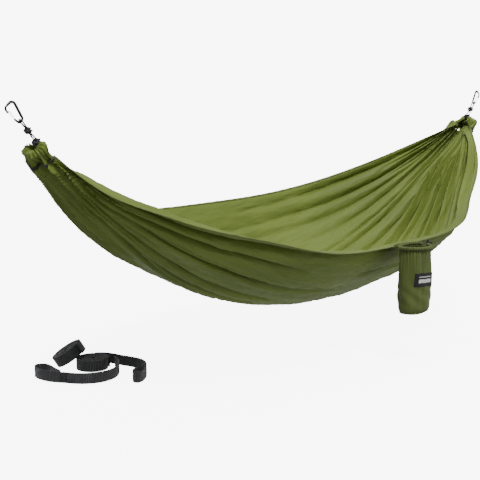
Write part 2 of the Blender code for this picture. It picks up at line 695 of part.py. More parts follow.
def build_drawcord():
    """The drawcord: round the mouth, out side by side through the lock, into its end knot."""
    half = []
    for reach in (TAIL_END, TAIL_END - TAIL_STRAIGHT, LOCK_AXIS.x, LOCK_AXIS.x - LOCK_RADIUS):
        half.append(Vector((reach, LOCK_AXIS.y + DRAWCORD_HALF_SPACING, LOCK_AXIS.z)))
    first = MOUTH_GAP_ANGLE * 0.55
    for step in range(1, DRAWCORD_TURNS + 1):
        turn = first + (math.pi - first) * step / DRAWCORD_TURNS
        half.append(sack_ring(turn, SACK_MIDDLE.z))
    other = [Vector((point.x, 2 * SACK_MIDDLE.y - point.y, point.z)) for point in half[-2::-1]]
    centreline = smooth_route(half + other, DRAWCORD_POINTS)
    tube("sack_drawcord", centreline, DRAWCORD_RADIUS, "cord", origin=SEAM)
    reach = DRAWCORD_HALF_SPACING + DRAWCORD_RADIUS + GAP * 1.5 + TAIL_KNOT_RADIUS
    rise = DRAWCORD_RADIUS + GAP * 1.5 + TAIL_KNOT_RADIUS
    ring = []
    for step in range(20):
        turn = 2 * math.pi * step / 20
        ring.append(Vector((TAIL_END - TAIL_KNOT_RADIUS, LOCK_AXIS.y + reach * math.cos(turn),
                            LOCK_AXIS.z + rise * math.sin(turn))))
    tube("drawcord_knot", ring, TAIL_KNOT_RADIUS, "cord", closed=True, origin=SEAM)


def build_cord_lock():
    """The cord lock: a barrel with a cross hole, its sprung button and the spring."""
    low = LOCK_AXIS.z - LOCK_HEIGHT / 2
    barrel = place("cord_lock_barrel",
                   cylinder_mesh("cord_lock_barrel", LOCK_RADIUS, LOCK_HEIGHT,
                                 Matrix.Translation(LOCK_AXIS)), "plastic", LOCK_AXIS)
    bore = Matrix.Translation(LOCK_AXIS + Vector((0, 0, LOCK_FLOOR)))
    cut(barrel, cylinder_mesh("lock_bore", LOCK_BORE, LOCK_HEIGHT, bore), "lock_bore")
    width, height = 2 * LOCK_HOLE_HALF_WIDTH, 2 * LOCK_HOLE_HALF_HEIGHT
    cut(barrel, box_mesh("lock_hole", (4 * LOCK_RADIUS, width, height), LOCK_AXIS), "lock_hole")
    floor = low + LOCK_FLOOR
    slot_low = LOCK_AXIS.z - LOCK_HOLE_HALF_HEIGHT
    slot_high = LOCK_AXIS.z + LOCK_HOLE_HALF_HEIGHT + BUTTON_TRAVEL
    foot = slot_low - 0.0013
    head = low + LOCK_HEIGHT + BUTTON_PROUD
    middle = LOCK_AXIS.copy()
    middle.z = (foot + head) / 2
    button = place("cord_lock_button",
                   cylinder_mesh("cord_lock_button", LOCK_BORE - GAP, head - foot,
                                 Matrix.Translation(middle)), "plastic", LOCK_AXIS)
    slot = LOCK_AXIS.copy()
    slot.z = (slot_low + slot_high) / 2
    cut(button, box_mesh("button_slot", (4 * LOCK_RADIUS, width, slot_high - slot_low), slot),
        "button_slot")
    coil = []
    rise = foot - floor - 2 * GAP - 2 * SPRING_WIRE
    for step in range(SPRING_TURNS * SPRING_SIDES + 1):
        turn = 2 * math.pi * step / SPRING_SIDES
        spot = Vector((math.cos(turn), math.sin(turn), 0)) * (LOCK_BORE - SPRING_WIRE - 3 * GAP)
        spot.z = floor + GAP + SPRING_WIRE + rise * step / (SPRING_TURNS * SPRING_SIDES)
        coil.append(Vector((LOCK_AXIS.x, LOCK_AXIS.y, 0)) + spot)
    tube("cord_lock_spring", coil, SPRING_WIRE, "steel", resolution=1, origin=LOCK_AXIS)


# --- tree straps ------------------------------------------------------------------------
def strip(name, path, low, high, thickness, look, frame, origin):
    """A strap run standing on edge along a plan path, placed by a frame."""
    shape = bmesh.new()
    columns = []
    for index, point in enumerate(path):
        before = path[max(index - 1, 0)]
        after = path[min(index + 1, len(path) - 1)]
        ahead = (after - before).normalized()
        side = Vector((-ahead.y, ahead.x, 0)) * thickness / 2
        column = []
        for offset, height in ((side, low), (side, high), (-side, high), (-side, low)):
            spot = Vector((point.x, point.y, 0)) + offset
            spot.z = height
            column.append(shape.verts.new(frame @ spot))
        columns.append(column)
    for here, there in zip(columns, columns[1:]):
        for index in range(4):
            after = (index + 1) % 4
            shape.faces.new((here[index], there[index], there[after], here[after]))
    shape.faces.new(columns[0])
    shape.faces.new(columns[-1])
    bmesh.ops.triangulate(shape, faces=shape.faces)
    from_bmesh(name, shape, look, origin)


def turned_ring(name, inner, outer, low, high, frame, look, origin, segments=48):
    """A coil's outer shape: a flat ring between two heights, placed by a frame."""
    shape = bmesh.new()
    rings = []
    for step in range(segments):
        turn = 2 * math.pi * step / segments
        arm = Vector((math.cos(turn), math.sin(turn), 0))
        column = []
        for radius, height in ((inner, low), (outer, low), (outer, high), (inner, high)):
            spot = arm * radius
            spot.z = height
            column.append(shape.verts.new(frame @ spot))
        rings.append(column)
    for step in range(segments):
        here, there = rings[step], rings[(step + 1) % segments]
        for index in range(4):
            after = (index + 1) % 4
            shape.faces.new((here[index], there[index], there[after], here[after]))
    bmesh.ops.triangulate(shape, faces=shape.faces)
    from_bmesh(name, shape, look, origin)


def plan(points):
    """Plan points as vectors on the ground of the straps' frame."""
    return [Vector((x, y, 0)) for x, y in points]


def build_first_strap():
    """The flat coil and its two free ends, each sewn into a loop."""
    origin = STRAP_FRAME.translation
    turned_ring("first_strap_coil", COIL_HOLE, COIL_RADIUS, 0, STRAP_WIDTH, STRAP_FRAME,
                "webbing", origin)
    join = Vector((*LONG_LOOP_JOIN, 0))
    long_path = smooth_route(plan(LONG_LOOP[::-1]) + [join] + plan(LONG_RUN), LONG_END_POINTS)
    strip("first_strap_long_end", long_path, 0, STRAP_WIDTH, STRAP_THICKNESS, "webbing",
          STRAP_FRAME, origin)
    short_path = smooth_route(plan(SHORT_RUN) + plan(SHORT_LOOP), SHORT_END_POINTS)
    strip("first_strap_short_end", short_path, 0, STRAP_WIDTH, STRAP_THICKNESS, "webbing",
          STRAP_FRAME, origin)
    build_tack("first_strap_long_tack", long_path, join, origin)
    build_tack("first_strap_short_tack", short_path, Vector((*SHORT_TACK_AT, 0)), origin)


def build_tack(name, path, spot, origin):
    """A bar tack on the outer side of a run, nearest a plan spot."""
    nearest = min(range(len(path)), key=lambda index: (path[index] - spot).length)
    ahead = (path[min(nearest + 1, len(path) - 1)] - path[max(nearest - 1, 0)]).normalized()
    side = Vector((ahead.y, -ahead.x, 0))
    centre = path[nearest] + side * (STRAP_THICKNESS / 2 + TACK_THICKNESS / 2 + 3 * GAP)
    ends = [centre - ahead * TACK_LENGTH / 2, centre + ahead * TACK_LENGTH / 2]
    margin = STRAP_WIDTH * 0.14
    strip(name, ends, margin, STRAP_WIDTH - margin, TACK_THICKNESS, "cord", STRAP_FRAME, origin)


def lean_frame():
    """Frame of the second coil, which leans on the first one's rim."""
    rise = STRAP_WIDTH + 3 * GAP
    left = -COIL_RADIUS - rise / math.tan(LEAN_ANGLE)
    tilt = Matrix.Rotation(-LEAN_ANGLE, 4, "Y")
    corner = Matrix.Translation((left, LEAN_BACK, GAP))
    return STRAP_FRAME @ corner @ tilt @ Matrix.Translation((LEAN_COIL_RADIUS, 0, 0))


def build_second_strap():
    """The second strap, wound up tight with its end tucked against the coil."""
    frame = lean_frame()
    origin = frame.translation
    turned_ring("second_strap_coil", COIL_HOLE, LEAN_COIL_RADIUS, 0, STRAP_WIDTH, frame,
                "webbing", origin)
    arc = []
    radius = LEAN_COIL_RADIUS + STRAP_THICKNESS / 2 + 2 * GAP
    for step in range(13):
        turn = math.radians(-6) + SECOND_TAIL_ARC * (step / 12 - 0.5)
        arc.append(Vector((radius * math.cos(turn), radius * math.sin(turn), 0)))
    strip("second_strap_end", arc, GAP, STRAP_WIDTH - GAP, STRAP_THICKNESS, "webbing",
          frame, origin)


def main():
    """Build every piece in order."""
    clear_scene()
    build_fabric()
    build_hems()
    for side in ("left", "right"):
        build_carabiner(side)
        build_gate(side)
        build_suspension(side)
        build_channel(side)
    build_sack_body()
    build_sack_base()
    build_sack_mouth()
    build_sack_label()
    build_drawcord()
    build_cord_lock()
    build_first_strap()
    build_second_strap()


main()
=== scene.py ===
"""Looks of a gathered-end camping hammock, its stuff sack and its two coiled tree straps.

Everything is in metres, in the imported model's own frame: X runs from the left hang point to the
right one, Z is up, and the near edge is on the -Y side.
"""
import json
import logging
import math
import random
from dataclasses import dataclass, field
from enum import Enum
from typing import Optional, Sequence, Union

import bmesh
import bpy
import numpy as np
from mathutils import Matrix, Vector

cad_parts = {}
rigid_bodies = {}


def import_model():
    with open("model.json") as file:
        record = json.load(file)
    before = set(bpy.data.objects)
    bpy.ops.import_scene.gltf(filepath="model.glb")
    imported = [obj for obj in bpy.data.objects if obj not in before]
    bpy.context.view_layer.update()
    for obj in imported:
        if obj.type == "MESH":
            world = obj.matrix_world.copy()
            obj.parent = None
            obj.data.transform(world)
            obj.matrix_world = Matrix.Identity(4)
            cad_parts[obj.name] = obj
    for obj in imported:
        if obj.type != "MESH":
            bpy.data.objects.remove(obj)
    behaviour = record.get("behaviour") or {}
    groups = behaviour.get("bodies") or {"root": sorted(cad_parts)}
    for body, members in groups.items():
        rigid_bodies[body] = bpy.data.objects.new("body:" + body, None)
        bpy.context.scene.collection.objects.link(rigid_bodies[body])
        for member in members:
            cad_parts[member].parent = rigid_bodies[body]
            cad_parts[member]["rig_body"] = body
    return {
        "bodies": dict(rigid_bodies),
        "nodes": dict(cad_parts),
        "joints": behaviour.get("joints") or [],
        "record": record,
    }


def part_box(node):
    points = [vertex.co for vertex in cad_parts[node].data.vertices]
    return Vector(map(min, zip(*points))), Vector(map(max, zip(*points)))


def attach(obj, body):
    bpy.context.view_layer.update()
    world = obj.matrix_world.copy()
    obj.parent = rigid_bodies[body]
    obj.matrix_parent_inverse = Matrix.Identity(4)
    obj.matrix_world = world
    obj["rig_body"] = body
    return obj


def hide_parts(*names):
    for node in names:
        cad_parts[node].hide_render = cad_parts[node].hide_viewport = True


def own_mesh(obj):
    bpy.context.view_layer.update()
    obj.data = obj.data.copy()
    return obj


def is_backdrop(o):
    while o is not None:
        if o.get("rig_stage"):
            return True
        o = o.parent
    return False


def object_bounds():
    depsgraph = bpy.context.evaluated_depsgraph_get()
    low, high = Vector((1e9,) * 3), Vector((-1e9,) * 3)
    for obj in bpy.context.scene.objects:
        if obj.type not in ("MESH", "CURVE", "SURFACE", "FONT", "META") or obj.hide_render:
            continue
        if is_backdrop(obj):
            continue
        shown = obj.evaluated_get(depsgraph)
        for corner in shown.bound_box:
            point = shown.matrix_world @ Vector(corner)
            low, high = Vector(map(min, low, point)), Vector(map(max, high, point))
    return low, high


LOG = logging.getLogger("hammock")
UV_NAME = "metres"
LEFT_GATHER = Vector((0.09985, 0.0, -0.119))    # where the left end is drawn together
Number = Union[int, float]
Colour = tuple[float, float, float]


class Side(Enum):
    """The two ends of the hammock."""

    LEFT = "left"
    RIGHT = "right"


# --- shader maths ---------------------------------------------------------------------------
class Value:
    """A number that varies over a surface, with Python's operators as Math nodes."""

    def __init__(self, finish: "Finish", socket: bpy.types.NodeSocket) -> None:
        """Wraps one output socket of a finish's node tree."""
        self.finish = finish
        self.socket = socket

    def _math(self, operation: str, *operands: Union["Value", Number]) -> "Value":
        """Adds a Math node.

        Args:
            operation: The node's operation.
            operands: Its inputs in order.

        Returns:
            The node's result.
        """
        node = self.finish.node("ShaderNodeMath", {"operation": operation},
                                dict(enumerate(operands)))
        return Value(self.finish, node.outputs[0])

    def __add__(self, other: Union["Value", Number]) -> "Value":
        """Sum."""
        return self._math("ADD", self, other)

    __radd__ = __add__

    def __sub__(self, other: Union["Value", Number]) -> "Value":
        """Difference."""
        return self._math("SUBTRACT", self, other)

    def __rsub__(self, other: Number) -> "Value":
        """Reflected difference."""
        return self._math("SUBTRACT", other, self)

    def __mul__(self, other: Union["Value", Number]) -> "Value":
        """Product."""
        return self._math("MULTIPLY", self, other)

    __rmul__ = __mul__

    def __truediv__(self, other: Union["Value", Number]) -> "Value":
        """Quotient."""
        return self._math("DIVIDE", self, other)

    def __pow__(self, other: Number) -> "Value":
        """Power."""
        return self._math("POWER", self, other)

    def __abs__(self) -> "Value":
        """Size without sign."""
        return self._math("ABSOLUTE", self)

    def wave(self) -> "Value":
        """Sine of the value."""
        return self._math("SINE", self)

    def larger(self, other: Union["Value", Number]) -> "Value":
        """The larger of two values."""
        return self._math("MAXIMUM", self, other)

    def step(self, edge: Number) -> "Value":
        """One where the value passes an edge, and nought elsewhere."""
        return self._math("GREATER_THAN", self, edge)

    def spread(self, low: Number, high: Number, out_low: Number = 0.0,
               out_high: Number = 1.0) -> "Value":
        """Maps a range smoothly onto another.

        Args:
            low: Where the range starts.
            high: Where it ends.
            out_low: Result at its start.
            out_high: Result at its end.

        Returns:
            The mapped value, held at its ends.
        """
        node = self.finish.node("ShaderNodeMapRange", {"interpolation_type": "SMOOTHSTEP"},
                                {0: self, 1: low, 2: high, 3: out_low, 4: out_high})
        return Value(self.finish, node.outputs[0])


class Finish:
    """One procedural material, and the calls that lay its nodes."""

    def __init__(self, name: str) -> None:
        """Starts a material with a bare Principled shader."""
        self.material = bpy.data.materials.new(name)
        self.material.use_nodes = True
        self.tree = self.material.node_tree
        self.shader = self.tree.nodes["Principled BSDF"]

    def node(self, kind: str, settings: Optional[dict] = None,
             inputs: Optional[dict] = None) -> bpy.types.Node:
        """Adds a node.

        Args:
            kind: The node's type.
            settings: Its properties, and its ramp's stops under "stops".
            inputs: Values or links of its sockets, by name or place.

        Returns:
            The node.
        """
        made = self.tree.nodes.new(kind)
        for key, setting in (settings or {}).items():
            if key == "stops":
                self._stops(made, setting)
            else:
                setattr(made, key, setting)
        for key, entry in (inputs or {}).items():
            self.feed(made.inputs[key], entry)
        return made

    @staticmethod
    def _stops(ramp: bpy.types.Node, stops: Sequence[tuple[float, Colour]]) -> None:
        """Sets a colour ramp's stops."""
        elements = ramp.color_ramp.elements
        while len(elements) < len(stops):
            elements.new(0.5)
        for element, (place, colour) in zip(elements, stops):
            element.position = place
            element.color = (*colour, 1)

    def feed(self, socket: bpy.types.NodeSocket, entry: object) -> None:
        """Sets or links one socket."""
        if isinstance(entry, Value):
            entry = entry.socket
        if isinstance(entry, bpy.types.NodeSocket):
            self.tree.links.new(entry, socket)
        elif isinstance(entry, tuple) and len(entry) == 3 and socket.type == "RGBA":
            socket.default_value = (*entry, 1)
        else:
            socket.default_value = entry

    def set(self, **inputs: object) -> "Finish":
        """Sets the shader's sockets; underscores in names stand for spaces."""
        for key, entry in inputs.items():
            self.feed(self.shader.inputs[key.replace("_", " ")], entry)
        return self

    def place(self) -> bpy.types.NodeSocket:
        """Object coordinates."""
        return self.node("ShaderNodeTexCoord").outputs["Object"]

    def cloth_place(self) -> bpy.types.NodeSocket:
        """The piece's own UV map, in metres across and along."""
        return self.node("ShaderNodeUVMap", {"uv_map": UV_NAME}).outputs["UV"]

    def axes(self, vector: bpy.types.NodeSocket) -> tuple[Value, Value, Value]:
        """The three parts of a vector."""
        parts = self.node("ShaderNodeSeparateXYZ", None, {0: vector})
        return tuple(Value(self, parts.outputs[i]) for i in range(3))

    def scaled(self, vector: bpy.types.NodeSocket, scale: Sequence[float],
               turn: Sequence[float] = (0.0, 0.0, 0.0)) -> bpy.types.NodeSocket:
        """A place stretched and turned by a Mapping node."""
        return self.node("ShaderNodeMapping", None,
                         {"Vector": vector, "Scale": tuple(scale),
                          "Rotation": tuple(turn)}).outputs[0]

    def cloud(self, vector: bpy.types.NodeSocket, scale: float, detail: float = 3.0,
              roughness: float = 0.5) -> Value:
        """Soft noise from 0 to 1."""
        made = self.node("ShaderNodeTexNoise", None,
                         {"Vector": vector, "Scale": scale, "Detail": detail,
                          "Roughness": roughness})
        return Value(self, made.outputs[0])

    def blend(self, factor: Union[Value, float], first: object,
              second: object) -> bpy.types.NodeSocket:
        """Mixes two colours."""
        made = self.node("ShaderNodeMix", {"data_type": "RGBA"},
                         {0: factor, 6: first, 7: second})
        return made.outputs[2]

    def bump(self, height: Value, strength: float, distance: float,
             under: Optional[bpy.types.NodeSocket] = None) -> bpy.types.NodeSocket:
        """A bump of a height, over another one where it is given."""
        inputs = {"Height": height, "Strength": strength, "Distance": distance}
        if under is not None:
            inputs["Normal"] = under
        return self.node("ShaderNodeBump", None, inputs).outputs[0]


# --- finishes -------------------------------------------------------------------------------
@dataclass(frozen=True)
class NylonCloth:
    """Thin taffeta with a soft sheen, lighter streaks painted along its long crinkle marks as painted
    sheen, and the crinkle that packing leaves in it.
    """

    name: str = "olive_taffeta"
    light: Colour = (0.150, 0.198, 0.034)
    deep: Colour = (0.108, 0.147, 0.022)
    thread: float = 0.0009
    crinkle: float = 0.35

    def build(self) -> bpy.types.Material:
        """Lays the cloth's nodes."""
        finish = Finish(self.name)
        place = finish.cloth_place()
        across, along, _ = finish.axes(place)
        turn = 2 * math.pi / self.thread
        weave = (across * turn).wave() * 0.5 + (along * turn).wave() * 0.5
        long_marks = finish.cloud(finish.scaled(place, (26, 3.2, 1)), 1.0, 4.0, 0.55)
        creases = finish.cloud(finish.scaled(place, (9, 7, 1), (0, 0, 0.6)), 1.0, 5.0, 0.6)
        broad = finish.cloud(finish.place(), 2.3, 2.0)
        shade = finish.blend(broad.spread(0.3, 0.7), self.deep, self.light)
        # Lighter streaks along the long crinkle marks, up to the light colour times 1.18, over the
        # random broad tone: painted sheen.
        marked = finish.blend(long_marks.spread(0.35, 0.75, 0.0, 0.35), shade,
                            tuple(c * 1.18 for c in self.light))
        fine = finish.bump(weave, 0.12, 0.0002)
        crumpled = finish.bump(long_marks * 0.6 + creases * 0.4, self.crinkle, 0.004, fine)
        finish.set(Base_Color=marked, Roughness=creases.spread(0.2, 0.8, 0.46, 0.60),
                   Normal=crumpled, Sheen_Weight=0.12, Sheen_Roughness=0.4,
                   Specular_IOR_Level=0.25)
        finish.shader.inputs["Sheen Tint"].default_value = (0.75, 0.85, 0.55, 1)
        return finish.material


@dataclass(frozen=True)
class Studio:
    """Plain pale floor and backdrop, soft key light and camera."""

    ground: float
    eye: tuple[float, float, float] = (-1.620, -2.378, 0.066)
    yaw: float = 0.823
    pitch: float = -0.159
    roll: float = -0.005
    lens: float = 74.9
    dish_radius: float = 15.0
    wall_height: float = 9.0
    clearance: float = 0.0006

    def camera(self) -> None:
        """Puts the camera at its height and heading."""
        forward = Vector((math.sin(self.yaw) * math.cos(self.pitch),
                          math.cos(self.yaw) * math.cos(self.pitch), math.sin(self.pitch)))
        right = Vector((math.cos(self.yaw), -math.sin(self.yaw), 0))
        up = right.cross(forward)
        turned_right = right * math.cos(self.roll) + up * math.sin(self.roll)
        turned_up = turned_right.cross(forward)
        data = bpy.data.cameras.new("camera")
        data.sensor_width = 36.0
        data.lens = self.lens
        data.clip_end = 100.0
        camera = bpy.data.objects.new("camera", data)
        basis = Matrix((turned_right, turned_up, -forward)).transposed().to_4x4()
        camera.matrix_world = Matrix.Translation(self.eye) @ basis
        bpy.context.scene.collection.objects.link(camera)
        bpy.context.scene.camera = camera

    def light(self) -> None:
        """A broad sun-like key from above the camera's left, and a dim even surround."""
        for name, energy, angle, heading in (("key", 2.9, 20.0, (-0.30, -0.42, 0.86)),
                                             ("top", 0.8, 60.0, (0.25, 0.30, 0.92)),
                                             ("fill", 0.5, 50.0, (0.40, -0.90, 0.10))):
            data = bpy.data.lights.new(name, "SUN")
            data.energy = energy
            data.angle = math.radians(angle)
            lamp = bpy.data.objects.new(name, data)
            lamp.rotation_mode = "QUATERNION"
            lamp.rotation_quaternion = Vector(heading).to_track_quat("Z", "Y")
            bpy.context.scene.collection.objects.link(lamp)
        world = bpy.data.worlds.new("surround")
        world.use_nodes = True
        back = world.node_tree.nodes["Background"]
        back.inputs[0].default_value = (0.97, 0.985, 1.0, 1)
        back.inputs[1].default_value = 0.52
        bpy.context.scene.world = world

    def floor(self) -> None:
        """A pale dish: a flat floor that curves up into a wall all round."""
        shape = bmesh.new()
        profile = [shape.verts.new((0, 0, 0)), shape.verts.new((self.dish_radius * 0.6, 0, 0))]
        bend = self.dish_radius * 0.4
        for step in range(1, 9):
            turn = math.pi / 2 * step / 8
            profile.append(shape.verts.new((self.dish_radius * 0.6 + bend * math.sin(turn), 0,
                                            bend * (1 - math.cos(turn)))))
        profile.append(shape.verts.new((self.dish_radius, 0, self.wall_height)))
        edges = [shape.edges.new(pair) for pair in zip(profile, profile[1:])]
        bmesh.ops.spin(shape, geom=profile + edges, cent=(0, 0, 0), axis=(0, 0, 1),
                       angle=2 * math.pi, steps=64, use_merge=True)
        bmesh.ops.remove_doubles(shape, verts=shape.verts, dist=1e-4)
        bmesh.ops.recalc_face_normals(shape, faces=shape.faces)
        bmesh.ops.reverse_faces(shape, faces=shape.faces)
        bmesh.ops.translate(shape, verts=shape.verts,
                            vec=(1.2, 0.0, self.ground - self.clearance))
        floor = add_object("floor", shape)
        finish = Finish("pale_floor")
        speck = finish.cloud(finish.place(), 0.6, 2.0)
        finish.set(Base_Color=finish.blend(speck, (0.80, 0.80, 0.79), (0.82, 0.82, 0.81)),
                   Roughness=0.8, Emission_Color=(1.0, 1.0, 1.0), Emission_Strength=7.0,
                   Specular_IOR_Level=0.1)
        floor.data.materials.append(finish.material)
        floor.visible_diffuse = False
        floor.visible_glossy = False
        floor.visible_shadow = False
        floor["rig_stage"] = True


# --- modelling helpers ----------------------------------------------------------------------
def add_object(name: str, shape: bmesh.types.BMesh, smooth: bool = True) -> bpy.types.Object:
    """Turns a bmesh into an object at the origin.

    Args:
        name: The object's name.
        shape: The bmesh, which is freed.
        smooth: Whether its faces are shaded smooth.

    Returns:
        The object.
    """
    mesh = bpy.data.meshes.new(name)
    shape.to_mesh(mesh)
    shape.free()
    if smooth:
        mesh.shade_smooth()
    item = bpy.data.objects.new(name, mesh)
    bpy.context.scene.collection.objects.link(item)
    return item


def lofted(name: str, points: np.ndarray, uv: np.ndarray, wrap: bool = False,
           capped: bool = False) -> bpy.types.Object:
    """A surface through rows of points.

    Args:
        name: The object's name.
        points: Places of shape (rows, columns, 3).
        uv: Places on the flat material of shape (rows, columns, 2), in metres.
        wrap: Whether the last column lies on the first, and is merged with it.
        capped: Whether open ends are closed with a face.

    Returns:
        The object.
    """
    rows, columns = points.shape[:2]
    shape = bmesh.new()
    bmesh.ops.create_grid(shape, x_segments=columns - 1, y_segments=rows - 1, size=1.0)
    shape.verts.ensure_lookup_table()
    start = np.array([vert.co[:] for vert in shape.verts])
    column = np.rint((start[:, 0] + 1) / 2 * (columns - 1)).astype(int)
    row = np.rint((start[:, 1] + 1) / 2 * (rows - 1)).astype(int)
    for vert, place in zip(shape.verts, points[row, column]):
        vert.co = place
    layer = shape.loops.layers.uv.new(UV_NAME)
    flat = uv[row, column]
    for face in shape.faces:
        for loop in face.loops:
            loop[layer].uv = flat[loop.vert.index]
    if wrap:
        bmesh.ops.remove_doubles(shape, verts=shape.verts, dist=1e-6)
    if capped:
        bmesh.ops.holes_fill(shape, edges=shape.edges, sides=0)
    if wrap:
        bmesh.ops.recalc_face_normals(shape, faces=shape.faces)
    return add_object(name, shape)


def give_wall(piece: bpy.types.Object, thickness: float) -> None:
    """Gives a thin sheet its thickness, half to each side."""
    wall = piece.modifiers.new("wall", "SOLIDIFY")
    wall.thickness = thickness
    wall.offset = 0.0


def smooth_route(route: Sequence[Sequence[float]], count: int) -> np.ndarray:
    """Points spaced evenly along a smooth curve through a route.

    Args:
        route: The places that the curve passes through.
        count: How many points to return.

    Returns:
        The points, of shape (count, 3).
    """
    places = [Vector(p) for p in route]
    dense = []
    for span in range(len(places) - 1):
        b, c = places[span], places[span + 1]
        a = places[span - 1] if span else 2 * b - c
        d = places[span + 2] if span + 2 < len(places) else 2 * c - b
        for step in range(16):
            t = step / 16
            dense.append(0.5 * ((2 * b) + (c - a) * t + (2 * a - 5 * b + 4 * c - d) * t ** 2
                                + (3 * b - a - 3 * c + d) * t ** 3))
    dense.append(places[-1])
    line = np.array([p[:] for p in dense])
    run = np.concatenate([[0], np.cumsum(np.linalg.norm(np.diff(line, axis=0), axis=1))])
    even = np.linspace(0, run[-1], count)
    return np.stack([np.interp(even, run, line[:, k]) for k in range(3)], -1)


def frames_along(line: np.ndarray) -> tuple[np.ndarray, np.ndarray]:
    """Two directions square to a line, carried along it without twist.

    Args:
        line: Points of the line.

    Returns:
        The two directions at each point.
    """
    ahead = np.gradient(line, axis=0)
    ahead /= np.linalg.norm(ahead, axis=1, keepdims=True)
    first = np.cross(ahead[0], (0.3, 0.5, 0.8))
    first /= np.linalg.norm(first)
    firsts = []
    for direction in ahead:
        first = first - direction * float(first @ direction)
        first /= np.linalg.norm(first)
        firsts.append(first)
    firsts = np.array(firsts)
    return firsts, np.cross(ahead, firsts)


def tube_into(shape: bmesh.types.BMesh, line: np.ndarray,
              radius: Union[float, np.ndarray], sides: int, closed: bool = False) -> None:
    """Adds a round tube along a line to a bmesh, with its UV map in metres.

    Args:
        shape: The bmesh.
        line: Points of the line.
        radius: The tube's radius, or one for each point.
        sides: How many sides it has.
        closed: Whether its end meets its start.
    """
    layer = shape.loops.layers.uv.get(UV_NAME) or shape.loops.layers.uv.new(UV_NAME)
    size = np.broadcast_to(np.asarray(radius, float), len(line))
    if closed:
        size = np.concatenate([size, size[:1]])
        line = np.concatenate([line, line[:1]])
    one, two = frames_along(line)
    if closed:
        one[-1], two[-1] = one[0], two[0]
    run = np.concatenate([[0], np.cumsum(np.linalg.norm(np.diff(line, axis=0), axis=1))])
    rows, columns = len(line), sides + 1
    made = bmesh.ops.create_grid(shape, x_segments=columns - 1, y_segments=rows - 1, size=1.0)
    verts = made["verts"]
    places = {}
    for vert in verts:
        column = round((vert.co.x + 1) / 2 * (columns - 1))
        row = round((vert.co.y + 1) / 2 * (rows - 1))
        turn = 2 * math.pi * column / sides
        places[vert] = (column, row)
        vert.co = line[row] + size[row] * (math.cos(turn) * one[row] + math.sin(turn) * two[row])
    faces = {face for vert in verts for face in vert.link_faces}
    for face in faces:
        for loop in face.loops:
            column, row = places[loop.vert]
            loop[layer].uv = (2 * math.pi * size[row] * column / sides, run[row])
    bmesh.ops.remove_doubles(shape, verts=verts, dist=1e-6)
    alive = [face for face in faces if face.is_valid]
    if not closed:
        rim = {edge for face in alive for edge in face.edges if edge.is_boundary}
        filled = bmesh.ops.holes_fill(shape, edges=list(rim), sides=0)
        alive += filled["faces"]
    bmesh.ops.recalc_face_normals(shape, faces=alive)


def tube(name: str, line: np.ndarray, radius: float, sides: int = 14,
         closed: bool = False) -> bpy.types.Object:
    """A round tube along a line, as an object."""
    shape = bmesh.new()
    tube_into(shape, line, radius, sides, closed)
    return add_object(name, shape)


# --- the bed --------------------------------------------------------------------------------
def hump(values: np.ndarray, centre: float, width: float) -> np.ndarray:
    """A smooth hump of height one about a centre."""
    return np.exp(-((values - centre) / width) ** 2)


